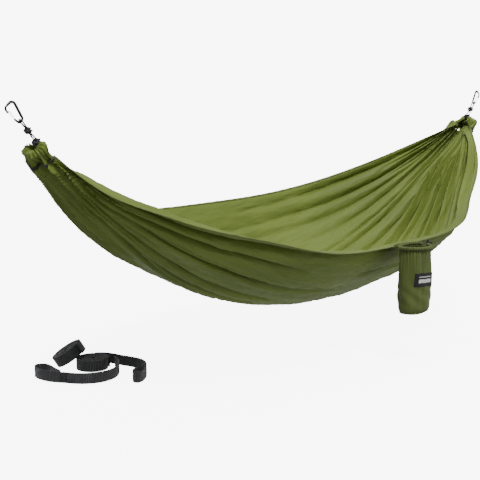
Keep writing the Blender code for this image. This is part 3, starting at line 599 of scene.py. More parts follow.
@dataclass
class Bed:
    """The bed's cloth: its hanging shape, its tucks and how it settles."""

    span: float
    bearing: np.ndarray
    gather: Vector
    chord: float = 2.375
    near_angle: float = math.radians(-48)
    far_angle: float = math.radians(58)
    sags: tuple[float, float, float] = (0.585, 0.645, 0.600)
    fullness: tuple[float, float, float] = (3.15, 2.4, 3.0)
    ring_height: float = 0.020
    ring_width: float = 0.032
    ring_wrap: float = math.radians(171)
    crown_wrap: float = math.radians(172)
    lobes: int = 19
    ruffle_rows: int = 26
    rise_part: float = 0.34
    ring_fade: float = 0.12
    pull_angle: float = math.radians(50)
    cord_run: float = 0.095
    channel_depth: float = 0.038
    channel_radius: float = 0.0110
    belt_wrap: float = math.radians(112)
    stitch_half: float = 0.0038
    stitch_radius: float = 0.0011
    hem_width: float = 0.0085
    hem_thickness: float = 0.0028
    near_dip: float = -0.020
    near_lift: float = 0.031
    right_pinch: float = 0.12
    right_tuck: float = 0.048
    flat_width: float = 1.33
    flat_length: float = 2.75
    rows: int = 144
    columns: int = 324
    thickness: float = 0.0007
    seed: int = 7
    frames: int = 24
    edge_hold: float = 0.35
    inner_hold: float = 0.06

    def blend3(self, u: np.ndarray, three: tuple[float, float, float]) -> np.ndarray:
        """A value through three given ones from the near edge to the far edge."""
        near, middle, far = three
        return (near * 2 * (u - 0.5) * (u - 1) + middle * 4 * u * (1 - u)
                + far * 2 * u * (u - 0.5))

    def envelope(self, u: np.ndarray, v: np.ndarray) -> np.ndarray:
        """The bed's smooth hanging shape.

        Args:
            u: Shares from the near edge to the far edge.
            v: Shares from the left gather to the right one.

        Returns:
            Places, with a last axis of 3.
        """
        angle = self.near_angle + (self.far_angle - self.near_angle) * u
        drop = self.blend3(u, self.sags) * (
            1 - np.abs(2 * v - 1) ** self.blend3(u, self.fullness))
        low = np.sin(math.pi * np.clip(u / 0.7, 0, 1))
        drop = drop * (1 - self.right_pinch * low * hump(v, 0.91, 0.062))
        turn = (2 * u - 1) * self.ring_wrap
        inward = -self.ring_height * (1 + np.cos(turn))
        ring_x = inward * math.sin(self.pull_angle)
        ring_z = inward * math.cos(self.pull_angle)
        ring_y = self.ring_width * np.sin(turn)
        left = np.maximum(0, 1 - v / self.ring_fade) ** 2
        right = np.maximum(0, 1 - (1 - v) / self.ring_fade) ** 2
        lift = hump(u, 0.0, 0.20) * (self.near_dip * hump(v, 0.055, 0.04)
                                     + self.near_lift * hump(v, 0.235, 0.10))
        tuck = hump(u, 0.0, 0.34) * self.right_tuck * hump(v, 0.82, 0.085)
        return np.stack([self.gather.x + self.chord * v + (left - right) * ring_x,
                         drop * np.sin(angle) + (left + right) * ring_y + tuck,
                         self.gather.z - drop * np.cos(angle) + (left + right) * ring_z + lift],
                        -1)

    def outward(self, u: np.ndarray, v: np.ndarray) -> np.ndarray:
        """Outward normals of the hanging shape."""
        step = 1e-4
        across = self.envelope(u + step, v) - self.envelope(u - step, v)
        along = self.envelope(u, v + step) - self.envelope(u, v - step)
        normal = np.cross(across, along)
        return normal / np.linalg.norm(normal, axis=-1, keepdims=True)

    def tucks(self) -> list[tuple[float, float, float, float]]:
        """Where the cloth is tucked for long runs.

        Returns:
            A centre, an end (0 left, 1 right), a reach along the bed and a depth for each tuck.
        """
        draw = random.Random(self.seed)
        made = []
        for end, count in ((0.0, 12), (1.0, 14)):
            for index in range(count):
                centre = (index + 0.5 + draw.uniform(-0.26, 0.26)) / count
                reach = draw.choice((0.34, 0.44, 0.56, 0.68))
                if end == 0.0 and centre > 0.5:
                    reach *= 0.5
                made.append((centre, end, reach, draw.uniform(0.026, 0.050)))
            for index in range(count + 1):
                centre = (index + draw.uniform(-0.2, 0.2)) / count
                made.append((centre, end, draw.uniform(0.12, 0.24), draw.uniform(0.006, 0.015)))
        return made

    def spare(self, u: np.ndarray, v: float, around: np.ndarray) -> np.ndarray:
        """How deep each point of a station may be tucked.

        Args:
            u: Shares across the bed.
            v: The station's share along it.
            around: Distance of each point from the near edge.

        Returns:
            Depths towards the inside, in metres.
        """
        depth = np.zeros(len(u))
        for centre, end, reach, deepest in self.tucks():
            away = abs(v - end)
            fade = max(0.0, 1 - (away / reach) ** 2)
            if fade <= 0:
                continue
            width = 0.0024 + 0.026 * min(away, 0.34) * (0.6 + 14 * deepest)
            middle = np.interp(centre + 0.012 * math.sin(9 * away + 20 * centre), u, around)
            sign = 1.0 if centre < 0.52 else -0.6
            depth += sign * deepest * fade ** 0.6 * np.exp(-np.abs((around - middle) / width) ** 1.45)
        close = min(v, 1 - v)
        for count, span, most in ((41, 0.075, 0.0085), (27, 0.13, 0.008)):
            fade = max(0.0, 1 - (close / span) ** 2)
            pleat = 2 * math.pi * count * (u + 0.006 * np.sin(23 * u + 3 * round(v)))
            depth += most * fade * np.cos(pleat)
        room = max(0.0, 1 - (1 - min(close / 0.3, 1)) ** 2)
        for wave, phase in ((4, 0.4), (7, 2.1), (12, 4.0)):
            swell = np.sin(2 * math.pi * wave * u + phase + 4 * v) / wave
            depth += 0.006 * room * swell
        radius = around[-1] / 5.0
        depth = radius * np.tanh(depth / radius)
        rim = np.minimum(around, around[-1] - around) / (0.005 + 0.035 * min(close, 0.2))
        return depth * np.clip(rim, 0, 1) ** 2 * (3 - 2 * np.clip(rim, 0, 1))

    def tucked_row(self, v: float, dense: int = 2200) -> tuple[np.ndarray, np.ndarray]:
        """One station across the cloth, with its spare width laid into tucks.

        Args:
            v: The station's share along the bed.
            dense: How many points the row is worked out with.

        Returns:
            Places of the cloth's columns, evenly spaced across the flat cloth, and their
            shares across the bed.
        """
        u = np.linspace(0, 1, dense)
        base = self.envelope(u, np.full(dense, v))
        normal = self.outward(u, np.full(dense, v))
        around = np.concatenate(
            [[0], np.cumsum(np.linalg.norm(np.diff(base, axis=0), axis=1))])
        depth = self.spare(u, v, around)
        low, high = 0.0, 1.6
        for _ in range(16):
            middle = (low + high) / 2
            row = base - normal * (middle * depth)[:, None]
            wide = np.linalg.norm(np.diff(row, axis=0), axis=1).sum()
            low, high = (middle, high) if wide < self.flat_width else (low, middle)
        row = base - normal * (low * depth)[:, None]
        run = np.concatenate([[0], np.cumsum(np.linalg.norm(np.diff(row, axis=0), axis=1))])
        even = np.linspace(0, run[-1], self.columns)
        places = np.stack([np.interp(even, run, row[:, k]) for k in range(3)], -1)
        return places, np.interp(even, run, u)

    def stations(self) -> np.ndarray:
        """Shares along the bed, from one channel seam to the other."""
        start = self.seam_share()
        share = np.linspace(0, 1, self.rows)
        eased = share - 0.55 * np.sin(2 * np.pi * share) / (2 * np.pi)
        return start + (1 - 2 * start) * eased

    def seam_share(self) -> float:
        """Share along the bed at which the channel is sewn down."""
        v = np.linspace(0, 0.05, 400)
        line = self.envelope(np.full(400, 0.5), v)
        run = np.concatenate([[0], np.cumsum(np.linalg.norm(np.diff(line, axis=0), axis=1))])
        return float(np.interp(self.channel_depth, run, v))

    def tucked(self) -> np.ndarray:
        """The whole cloth as laid into its tucks."""
        return np.stack([self.tucked_row(float(v))[0] for v in self.stations()])

    def flat(self, points: np.ndarray) -> np.ndarray:
        """Places on the flat cloth, in metres."""
        rows, columns = points.shape[:2]
        along = np.linalg.norm(np.diff(points, axis=0), axis=2)
        run = np.concatenate([np.zeros((1, columns)), np.cumsum(along, axis=0)])
        kernel = np.ones(25) / 25
        smooth = np.stack([np.convolve(np.pad(row, 12, mode="edge"), kernel, "valid")
                           for row in run])
        smooth -= smooth[rows // 2]
        across = np.linspace(0, self.flat_width, columns)
        return np.stack([np.tile(across, (rows, 1)), smooth], -1)

    def settle(self, cloth: bpy.types.Object, points: np.ndarray,
               flat: np.ndarray) -> np.ndarray:
        """Lets the cloth settle between its two sewn ends.

        Args:
            cloth: The object as laid.
            points: Its places.
            flat: Its places on the flat cloth.

        Returns:
            Its settled places.
        """
        rows, columns = points.shape[:2]
        cloth.shape_key_add(name="laid")
        key = cloth.shape_key_add(name="cut")
        spread = np.concatenate([flat.reshape(-1, 2), np.zeros((rows * columns, 1))], 1)
        key.data.foreach_set("co", spread.astype(np.float32).ravel())
        held = cloth.vertex_groups.new(name="held")
        ends = [i for i in range(columns)] + [(rows - 1) * columns + i for i in range(columns)]
        held.add(ends, 1.0, "REPLACE")
        edge = [r * columns + c for r in range(1, rows - 1)
                for c in (0, 1, columns - 2, columns - 1)]
        held.add(edge, self.edge_hold, "REPLACE")
        inner = [r * columns + c for r in range(1, rows - 1) for c in range(2, columns - 2)]
        held.add(inner, self.inner_hold, "REPLACE")
        modifier = cloth.modifiers.new("settle", "CLOTH")
        sheet = modifier.settings
        sheet.rest_shape_key = key
        sheet.quality = 6
        sheet.mass = 0.0006
        sheet.tension_stiffness = 30.0
        sheet.compression_stiffness = 14.0
        sheet.shear_stiffness = 3.0
        sheet.bending_stiffness = 0.012
        sheet.tension_damping = 6.0
        sheet.compression_damping = 6.0
        sheet.shear_damping = 3.0
        sheet.bending_damping = 0.4
        sheet.air_damping = 1.5
        sheet.vertex_group_mass = "held"
        sheet.pin_stiffness = 1.0
        sheet.effector_weights.gravity = 0.5
        modifier.collision_settings.use_collision = False
        modifier.collision_settings.use_self_collision = False
        scene = bpy.context.scene
        scene.frame_start, scene.frame_end = 1, self.frames
        modifier.point_cache.frame_start, modifier.point_cache.frame_end = 1, self.frames
        for frame in range(1, self.frames + 1):
            scene.frame_set(frame)
        graph = bpy.context.evaluated_depsgraph_get()
        settled = cloth.evaluated_get(graph).data
        result = np.zeros(rows * columns * 3, np.float32)
        settled.vertices.foreach_get("co", result)
        cloth.modifiers.remove(modifier)
        cloth.shape_key_clear()
        scene.frame_set(1)
        return result.reshape(rows, columns, 3).astype(float)

    def build(self) -> tuple[bpy.types.Object, np.ndarray]:
        """Makes the cloth.

        Returns:
            The object and its settled places.
        """
        points = self.tucked()
        flat = self.flat(points)
        cloth = lofted("hammock_cloth", points, flat)
        points = self.settle(cloth, points, flat)
        cloth.data.vertices.foreach_set("co", points.astype(np.float32).ravel())
        cloth.data.update()
        give_wall(cloth, self.thickness)
        return cloth, points

    # gathered ends --------------------------------------------------------------------------
    def mirrored(self, points: np.ndarray, side: Side) -> np.ndarray:
        """Points of the left end, or their mirror image at the right end."""
        if side is Side.LEFT:
            return points
        return points * np.array([-1.0, 1.0, 1.0]) + np.array([self.span, 0.0, 0.0])

    def pull(self) -> np.ndarray:
        """Direction of the suspension at the left end."""
        return np.array([-math.cos(self.pull_angle), 0, math.sin(self.pull_angle)])

    def across_pull(self) -> np.ndarray:
        """Direction square to the suspension, in the hanging plane."""
        return np.array([math.sin(self.pull_angle), 0, math.cos(self.pull_angle)])

    def ring(self, turn: np.ndarray) -> tuple[np.ndarray, np.ndarray]:
        """The ring that the channel is drawn into.

        Args:
            turn: Angles round it, nought at its lowest.

        Returns:
            Its points and the directions away from its middle.
        """
        turn = np.asarray(turn, float)[:, None]
        arm = (-self.ring_height * np.cos(turn) * self.across_pull()
               + self.ring_width * np.sin(turn) * np.array([0.0, 1.0, 0.0]))
        middle = np.array(self.gather) - self.ring_height * self.across_pull()
        return middle + arm, arm / np.linalg.norm(arm, axis=1, keepdims=True)

    def ruffles(self, side: Side) -> np.ndarray:
        """Places of the end channel's ruffles, at the left end.

        Args:
            side: The end that they are for, which picks their irregularities.

        Returns:
            Places from the channel's seam over the cord and down inside.
        """
        seam, share = self.tucked_row(self.seam_share())
        ring, arm = self.ring((2 * share - 1) * self.crown_wrap)
        draw = random.Random(self.seed + (3 if side is Side.LEFT else 11))
        sizes = np.array([draw.uniform(0.72, 1.25) for _ in range(self.lobes + 1)])
        phase = (share * self.lobes + 0.16 * np.sin(9 * share)).clip(0, self.lobes)
        index = np.minimum(phase.astype(int), self.lobes)
        ridge = np.abs(np.sin(math.pi * phase)) ** 0.55 * sizes[index]
        fine = 0.10 * np.sin(2 * math.pi * 47 * share)
        rows = []
        for step in range(self.ruffle_rows):
            part = step / (self.ruffle_rows - 1)
            mix = min(1.0, part / self.rise_part)
            if mix < 1:
                section = -0.5 + 0.5 * mix
            else:
                section = (part - self.rise_part) / (1 - self.rise_part) * math.radians(232)
            reach = self.channel_radius * (0.34 + 0.86 * ridge + fine)
            reach = reach * (1 + 0.10 * np.sin(5.0 * section + 17 * share))
            reach = reach * (1 + 0.22 * max(0.0, math.sin(section)))
            over = ring + reach[:, None] * (math.cos(section) * arm
                                            + math.sin(section) * self.pull())
            ease = mix * mix * (3 - 2 * mix)
            rows.append(seam * (1 - ease) + over * ease)
        return np.stack(rows)

    def crown(self, side: Side) -> bpy.types.Object:
        """The end channel, drawn up on its cord."""
        rows = self.ruffle_rows
        points = self.mirrored(self.ruffles(side), side)
        flat = np.stack(np.broadcast_arrays(
            np.linspace(0, self.flat_width, self.columns)[None, :],
            np.linspace(0, 2 * self.channel_depth, rows)[:, None]), -1)
        crown = lofted(f"{side.value}_gathered_channel", points, flat)
        give_wall(crown, self.thickness)
        return crown

    def seam_threads(self, side: Side, places: np.ndarray) -> bpy.types.Object:
        """Two rows of dark stitches round the bundle at the seam, with a zigzag between them.

        Args:
            side: The end.
            places: The settled cloth.

        Returns:
            The stitches.
        """
        ends = places[:4] if side is Side.LEFT else self.mirrored(places[-4:], side)
        seam = ends[0] if side is Side.LEFT else ends[-1]
        bundle = np.concatenate([ends.reshape(-1, 3), self.ruffles(side)[:3].reshape(-1, 3)])
        middle = seam.mean(axis=0)
        up, sideways = self.across_pull(), np.array([0.0, 1.0, 0.0])

        def polar(points: np.ndarray) -> tuple[np.ndarray, np.ndarray, np.ndarray]:
            """Angle, distance and height of points about the pull's own axis."""
            arm = points - middle
            a, b = arm @ up, arm @ sideways
            return np.arctan2(b, -a), np.hypot(a, b), arm @ self.pull()

        angle, reach, height = polar(bundle)
        seam_angle, _, seam_height = polar(seam)
        samples = 132
        turn = np.linspace(-self.belt_wrap, self.belt_wrap, samples)
        kernel = np.ones(7) / 7
        apart = np.abs(np.mod(seam_angle[None, :] - turn[:, None] + math.pi, 2 * math.pi) - math.pi)
        weights = np.exp(-(apart / 0.25) ** 2)
        level = (weights * seam_height).sum(axis=1) / weights.sum(axis=1)
        zigzag = np.where(np.arange(samples) % 2 == 0, 1.0, -1.0)
        made = bmesh.new()
        for offset in (np.ones(samples), -np.ones(samples), zigzag):
            lift = level + offset * self.stitch_half
            belt = []
            for target, wanted in zip(turn, lift):
                away = np.abs(np.mod(angle - target + math.pi, 2 * math.pi) - math.pi)
                beside = (away < 0.13) & (np.abs(height - wanted) < 0.0045)
                belt.append(reach[beside].max() if beside.any() else belt[-1] if belt else 0.02)
            belt = np.convolve(np.pad(np.array(belt), 3, mode="edge"), kernel, "valid")
            belt += self.stitch_radius * 0.6
            line = (middle + (belt * -np.cos(turn))[:, None] * up
                    + (belt * np.sin(turn))[:, None] * sideways + lift[:, None] * self.pull())
            tube_into(made, self.mirrored(line, side), self.stitch_radius, 6)
        return add_object(f"{side.value}_channel_stitches", made)

    def hem(self, name: str, places: np.ndarray, column: int, inner: int) -> bpy.types.Object:
        """A rolled hem along one long edge of the settled cloth.

        Args:
            name: The piece's name.
            places: The settled cloth.
            column: The edge's column.
            inner: A column a little way in from it.

        Returns:
            The hem.
        """
        edge = places[:, column]
        out = edge - places[:, inner]
        out /= np.linalg.norm(out, axis=1, keepdims=True)
        ahead = np.gradient(edge, axis=0)
        ahead /= np.linalg.norm(ahead, axis=1, keepdims=True)
        normal = np.cross(ahead, out)
        normal /= np.linalg.norm(normal, axis=1, keepdims=True)
        fine = 4
        count = len(edge)
        station = np.linspace(0, count - 1, count * fine)

        def along(values: np.ndarray) -> np.ndarray:
            """Values at the finer stations."""
            return np.stack([np.interp(station, np.arange(count), values[:, k])
                             for k in range(3)], -1)

        edge, out, normal = along(edge), along(out), along(normal)
        run = np.concatenate([[0], np.cumsum(np.linalg.norm(np.diff(edge, axis=0), axis=1))])
        pucker = 1 + 0.10 * np.sin(run * 2 * math.pi / 0.021) + 0.06 * np.sin(run * 611.0)
        ring = []
        sides = 12
        for step in range(sides + 1):
            turn = 2 * math.pi * step / sides
            wide = self.hem_width / 2 * math.cos(turn)
            thick = self.hem_thickness / 2 * math.sin(turn)
            ring.append(edge + out * (wide + 0.0006) + normal * (thick * pucker)[:, None])
        points = np.stack(ring, 1)
        round_it = np.linspace(0, self.hem_width * 2.2, sides + 1)
        flat = np.stack([np.tile(round_it, (len(run), 1)),
                         np.tile(run[:, None], (1, sides + 1))], -1)
        return lofted(name, points, flat, wrap=True, capped=True)


# --- cords and knots ------------------------------------------------------------------------
@dataclass
class Suspension:
    """The closed cord at one end, and its two knots."""

    bed: Bed
    side: Side
    bearing: np.ndarray
    rod: float = 0.0030
    loose: float = 0.0011
    radius: float = 0.0024
    half_spacing: float = 0.0029
    bow: float = 0.0040
    splay: float = 0.0035
    loop_knot_share: float = 0.37
    loop_knot_half: float = 0.0080
    gather_knot_at: float = 0.0145
    gather_knot_half: float = 0.0050
    loop_rope: float = 0.0024
    gather_rope: float = 0.0029
    samples: int = 420

    def leg(self, height: float, spacing: float) -> np.ndarray:
        """A point of one leg, above the gather along the pull."""
        return (np.array(self.bed.gather) + height * self.bed.pull()
                + np.array([0.0, spacing, 0.0]))

    def knot_height(self) -> float:
        """Height of the loop knot above the gather."""
        return self.bed.cord_run * (1 - self.loop_knot_share)

    def route(self) -> np.ndarray:
        """The cord's centreline, from under the channel round the carabiner and back."""
        loop = self.rod + self.loose + self.radius
        tall = self.knot_height()
        half = []
        for step in range(5):
            turn = math.pi / 2 * step / 4
            half.append(self.bearing + loop * (math.cos(turn) * self.bed.pull()
                                               + math.sin(turn) * np.array([0.0, 1.0, 0.0])))
        half.append(self.leg(self.bed.cord_run * 0.82, loop * 0.82))
        half.append(self.leg(tall + self.loop_knot_half, self.half_spacing))
        half.append(self.leg(tall - self.loop_knot_half, self.half_spacing))
        half.append(self.leg(tall * 0.55, self.half_spacing + self.bow))
        half.append(self.leg(self.gather_knot_at + self.gather_knot_half, self.half_spacing))
        half.append(self.leg(self.gather_knot_at - self.gather_knot_half, self.half_spacing))
        half.append(self.leg(0.002, self.half_spacing + self.splay))
        ring, _ = self.bed.ring(np.radians(146 * (1 - np.arange(8) / 7.0)))
        half += list(ring)
        other = [point * np.array([1.0, -1.0, 1.0]) for point in half[-2:0:-1]]
        start = len(half) - 1
        full = half + other + [half[0]]
        looped = full[start:-1] + full[:start + 1]
        return self.bed.mirrored(smooth_route(looped, self.samples), self.side)

    def cord(self) -> tuple[bpy.types.Object, np.ndarray]:
        """The cord.

        Returns:
            The object, and the points that it follows.
        """
        line = self.route()
        return tube(f"{self.side.value}_cord", line[:-1], self.radius, 14, closed=True), line

    def knot(self, name: str, height: float, rope: float) -> bpy.types.Object:
        """A woven knot drawn up round both legs.

        Args:
            name: The knot's name.
            height: Its height above the gather.
            rope: Radius of its strands.

        Returns:
            The knot.
        """
        turns, lobes, count = 3, 4, 260
        step = np.linspace(0, 2 * math.pi, count, endpoint=False)
        wide = self.half_spacing + self.radius + rope * 1.15
        deep = self.radius + rope * 1.15
        swell = rope * 0.95 * (1 + np.cos(lobes * step))
        along = rope * 2.3 * np.sin(lobes * step)
        around = turns * step
        sideways = (wide + swell) * np.cos(around)
        outward = (deep + swell) * np.sin(around)
        centre = np.array(self.bed.gather) + height * self.bed.pull()
        line = (centre + along[:, None] * self.bed.pull()
                + sideways[:, None] * np.array([0.0, 1.0, 0.0])
                + outward[:, None] * self.bed.across_pull())
        return tube(name, self.bed.mirrored(line, self.side), rope, 12, closed=True)


# --- carabiners -----------------------------------------------------------------------------
def rounded(corners: Sequence[Sequence[float]], radii: Sequence[float],
            steps: int = 14) -> list[Vector]:
    """A polyline with its inner corners turned into arcs.

    Args:
        corners: The corners, in a plane.
        radii: Radius of each inner corner's arc.
        steps: Pieces in each arc.

    Returns:
        The points.
    """
    places = [Vector((*corner, 0)) for corner in corners]
    points = [places[0]]
    for before, corner, after, radius in zip(places, places[1:], places[2:], radii):
        inward, outward = (before - corner).normalized(), (after - corner).normalized()
        half = inward.angle(outward) / 2
        centre = corner + (inward + outward).normalized() * radius / math.sin(half)
        first = corner + inward * radius / math.tan(half) - centre
        last = corner + outward * radius / math.tan(half) - centre
        sweep = first.angle(last)
        for step in range(steps + 1):
            share = step / steps
            arm = first * math.sin((1 - share) * sweep) + last * math.sin(share * sweep)
            points.append(centre + arm / math.sin(sweep))
    points.append(places[-1])
    return points


@dataclass
class Carabiner:
    """A bent-rod carabiner body in its own plane, across towards the gate and along the spine."""

    bed: Bed
    side: Side
    bearing: np.ndarray
    rod: float = 0.0030
    spine_angle: float = math.radians(60)
    bottom_bearing: float = 0.0115
    corners: tuple[tuple[float, float], ...] = (
        (0.0280, 0.0135), (0.0190, -0.0054), (0.0029, -0.0027), (0.0029, 0.0615),
        (0.0385, 0.0555), (0.0362, 0.0370))
    fillets: tuple[float, ...] = (0.0062, 0.0062, 0.0120, 0.0085)

    def place(self, across: float, along: float, sideways: float = 0.0) -> np.ndarray:
        """A point from its place in the carabiner's plane."""
        slope = ((self.corners[1][1] - self.corners[2][1])
                 / (self.corners[1][0] - self.corners[2][0]))
        bottom = self.corners[2][1] + slope * (self.bottom_bearing - self.corners[2][0])
        spine = np.array([-math.cos(self.spine_angle), 0, math.sin(self.spine_angle)])
        gateward = np.array([-math.sin(self.spine_angle), 0, -math.cos(self.spine_angle)])
        return (self.bearing + (across - self.bottom_bearing) * gateward
                + (along - bottom) * spine + np.array([0.0, sideways, 0.0]))

    def body(self) -> bpy.types.Object:
        """The rod, thicker along its spine, with its hooked nose and its hinge end."""
        flat = rounded(self.corners, self.fillets)
        line = np.array([self.place(point.x, point.y) for point in flat])
        run = np.concatenate([[0], np.cumsum(np.linalg.norm(np.diff(line, axis=0), axis=1))])
        even = np.linspace(0, run[-1], 190)
        line = np.stack([np.interp(even, run, line[:, k]) for k in range(3)], -1)
        from_end = np.minimum(even, run[-1] - even)
        radius = self.rod * (0.82 + 0.24 * np.clip(from_end / 0.010, 0, 1) ** 0.6)
        radius *= 1 + 0.32 * np.clip(np.minimum(even - 0.032, run[-1] - 0.024 - even) / 0.010, 0, 1)
        radius *= np.sqrt(np.clip((from_end + 0.00035) / 0.0022, 0, 1))
        shape = bmesh.new()
        tube_into(shape, self.bed.mirrored(line, self.side), radius, 24)
        nose = self.place(*self.corners[-1])
        before = self.place(*self.corners[-2])
        ahead = (nose - before) / np.linalg.norm(nose - before)
        lip = np.array([nose - ahead * 0.0036 + np.array([0.0, share * 0.0034, 0.0])
                        for share in np.linspace(-1, 1, 17)])
        ease = np.sqrt(1 - np.linspace(-0.97, 0.97, 17) ** 2)
        tube_into(shape, self.bed.mirrored(lip, self.side), 0.0029 * (0.55 + 0.45 * ease), 20)
        return add_object(f"{self.side.value}_carabiner", shape)


# --- stuff sack -----------------------------------------------------------------------------
@dataclass
class Sack:
    """The stuff sack that hangs from the near hem, with its drawcord."""

    middle: np.ndarray
    top: float
    half_width: float
    half_depth: float
    height: float
    channel_radius: float = 0.0060
    gap_angle: float = math.radians(13)
    turns: int = 288
    rings: int = 120
    label_drop: float = 0.114
    label_turn: float = math.radians(-97)
    label_size: tuple[float, float] = (0.088, 0.047)
    label_tilt: float = 0.09
    label_lift: float = 0.0014
    label_thickness: float = 0.0009
    wall_thickness: float = 0.0008
    panel_thickness: float = 0.0006
    base_dome: float = 0.0085
    base_seam: float = 0.0016
    squareness: float = 0.94
    cord_radius: float = 0.0012
    cord_half_spacing: float = 0.0017
    knot_radius: float = 0.0022

    def oval(self, turn: np.ndarray, squareness: float = 1.0) -> np.ndarray:
        """Directions of the sack's oval, flatter at its back.

        Args:
            turn: Angles from +X.
            squareness: One for a plain oval, less for a squarer one.

        Returns:
            Places of shape (len(turn), 2) in the ground plane, from the middle.
        """
        x = np.sign(np.cos(turn)) * np.abs(np.cos(turn)) ** squareness
        y = np.sign(np.sin(turn)) * np.abs(np.sin(turn)) ** squareness
        return np.stack([self.half_width * x, self.half_depth * y], -1)

    def wall(self, turn: np.ndarray, share: np.ndarray, grow: float = 0.0) -> np.ndarray:
        """Places on the sack's side.

        Args:
            turn: Angles from +X.
            share: Shares down the side, from nought under the channel to one at the base.
            grow: Distance outward.

        Returns:
            Places, with a last axis of 3.
        """
        turn, share = np.broadcast_arrays(np.asarray(turn, float), np.asarray(share, float))
        base = self.oval(turn, self.squareness)
        top_pleat = (0.0022 * np.exp(-share / 0.17)
                     * (np.sin(31 * turn + 2 * np.sin(3 * turn)) + 0.6 * np.sin(53 * turn)))
        soft = (0.0030 * np.sin(2 * turn + 5.5 * share) * np.sin(math.pi * share)
                + 0.0022 * np.sin(5 * turn - 4 * share + 1.2) * np.sin(math.pi * share) ** 0.7
                + 0.0012 * np.sin(9 * turn + 11 * share) * np.sin(math.pi * share))
        front = np.exp(-((np.mod(turn + math.pi / 2 + 0.30 + 0.10 * share + math.pi,
                                 2 * math.pi) - math.pi) / 0.13) ** 2)
        crease = -0.0065 * front * np.sin(math.pi * np.clip(share * 1.05, 0, 1)) ** 0.6
        slant = 0.0016 * np.sin(26 * (share - 0.22 * turn)) * np.exp(-((share - 0.72) / 0.16) ** 2)
        ruck = (0.0012 * np.sin(37 * turn + 2 * np.sin(5 * turn))
                * np.exp(-(1 - share) / 0.06))
        inward = -0.006 * np.exp(-share / 0.05) - 0.0075 * np.clip((share - 0.90) / 0.10, 0, 1) ** 2
        swell = top_pleat + soft + crease + slant + ruck + inward + grow
        size = np.linalg.norm(base, axis=-1)
        out = base / size[..., None]
        plan = base + out * swell[..., None]
        drop = self.height * share + 0.004 * np.sin(turn - 0.6) * share
        return np.stack([self.middle[0] + plan[..., 0], self.middle[1] + plan[..., 1],
                         self.top - drop], -1)

    def body(self) -> bpy.types.Object:
        """The side wall, creased under its channel and ruckled along its base seam."""
        turn = np.linspace(0, 2 * math.pi, self.turns + 1)
        share = np.linspace(0, 1, self.rings) ** 1.25
        points = self.wall(turn[None, :], share[:, None])
        girth = math.pi * (self.half_width + self.half_depth)
        flat = np.stack(np.broadcast_arrays(turn[None, :] / (2 * math.pi) * girth,
                                            share[:, None] * self.height), -1)
        body = lofted("sack_side", points, flat, wrap=True)
        give_wall(body, self.wall_thickness)
        return body

    def channel(self) -> bpy.types.Object:
        """The gathered channel round the mouth."""
        count, sides = 620, 14
        turn = np.linspace(self.gap_angle, 2 * math.pi - self.gap_angle, count)
        pleat = (0.78 + 0.30 * np.abs(np.sin(26 * turn + 1.5 * np.sin(4 * turn))) ** 0.7
                 + 0.06 * np.sin(71 * turn))
        base = self.oval(turn, self.squareness)
        out = base / np.linalg.norm(base, axis=1, keepdims=True)
        rows = []
        for step in range(sides + 1):
            angle = 2 * math.pi * step / sides
            reach = self.channel_radius * pleat
            plan = base + out * (reach * math.cos(angle))[:, None]
            lift = reach * 1.05 * math.sin(angle) + 0.0016 * np.sin(2 * turn + 0.4)
            rows.append(np.stack([self.middle[0] + plan[:, 0], self.middle[1] + plan[:, 1],
                                  self.middle[2] + lift], -1))
        points = np.stack(rows, 1)
        girth = math.pi * (self.half_width + self.half_depth)
        flat = np.stack(np.broadcast_arrays(
            np.linspace(0, 2 * math.pi * self.channel_radius, sides + 1)[None, :],
            (turn / (2 * math.pi) * girth * 1.8)[:, None]), -1)
        return lofted("sack_mouth", points, flat, wrap=True, capped=True)

    def base(self) -> bpy.types.Object:
        """The round base panel and the seam that joins it to the side."""
        turn = np.linspace(0, 2 * math.pi, self.turns + 1)
        edge = self.wall(turn, np.ones(self.turns + 1))
        centre = np.array([self.middle[0], self.middle[1], self.top - self.height - self.base_dome])
        rows = []
        shares = np.linspace(0.02, 1, 26)
        for share in shares:
            place = centre + (edge - centre) * np.array([share, share, share ** 3.2])
            pucker = 0.0006 * share ** 6 * np.sin(37 * turn)
            rows.append(place + np.array([0, 0, 1.0]) * pucker[:, None])
        points = np.stack(rows)
        flat = np.stack([points[..., 0] - self.middle[0], points[..., 1] - self.middle[1]], -1)
        panel = lofted("sack_bottom", points, flat, wrap=True)
        shape = bmesh.new()
        shape.from_mesh(panel.data)
        bmesh.ops.holes_fill(shape, edges=[e for e in shape.edges if e.is_boundary
                                           and (e.verts[0].co.xy - Vector(centre[:2])).length
                                           < 0.01], sides=0)
        bmesh.ops.recalc_face_normals(shape, faces=shape.faces)
        seam = edge[:-1] + np.array([0, 0, 0.0012])
        tube_into(shape, seam, self.base_seam * (1 + 0.16 * np.sin(63 * turn[:-1])), 10, closed=True)
        shape.to_mesh(panel.data)
        shape.free()
        give_wall(panel, self.panel_thickness)
        return panel

    def label(self) -> bpy.types.Object:
        """The plain woven label, sewn flat on the side."""
        wide, tall = self.label_size
        radius = (self.half_width + self.half_depth) / 2
        across = np.linspace(-wide / 2, wide / 2, 46)
        down = np.linspace(-tall / 2, tall / 2, 26)
        x, y = np.meshgrid(across, down)
        tilt_x = x * math.cos(self.label_tilt) - y * math.sin(self.label_tilt)
        tilt_y = x * math.sin(self.label_tilt) + y * math.cos(self.label_tilt)
        turn = self.label_turn + tilt_x / radius
        share = (self.label_drop - 0.0072 + tilt_y) / self.height
        points = self.wall(turn, share, self.label_lift)
        label = lofted("sack_patch", points, np.stack([x, y], -1))
        give_wall(label, self.label_thickness)
        return label

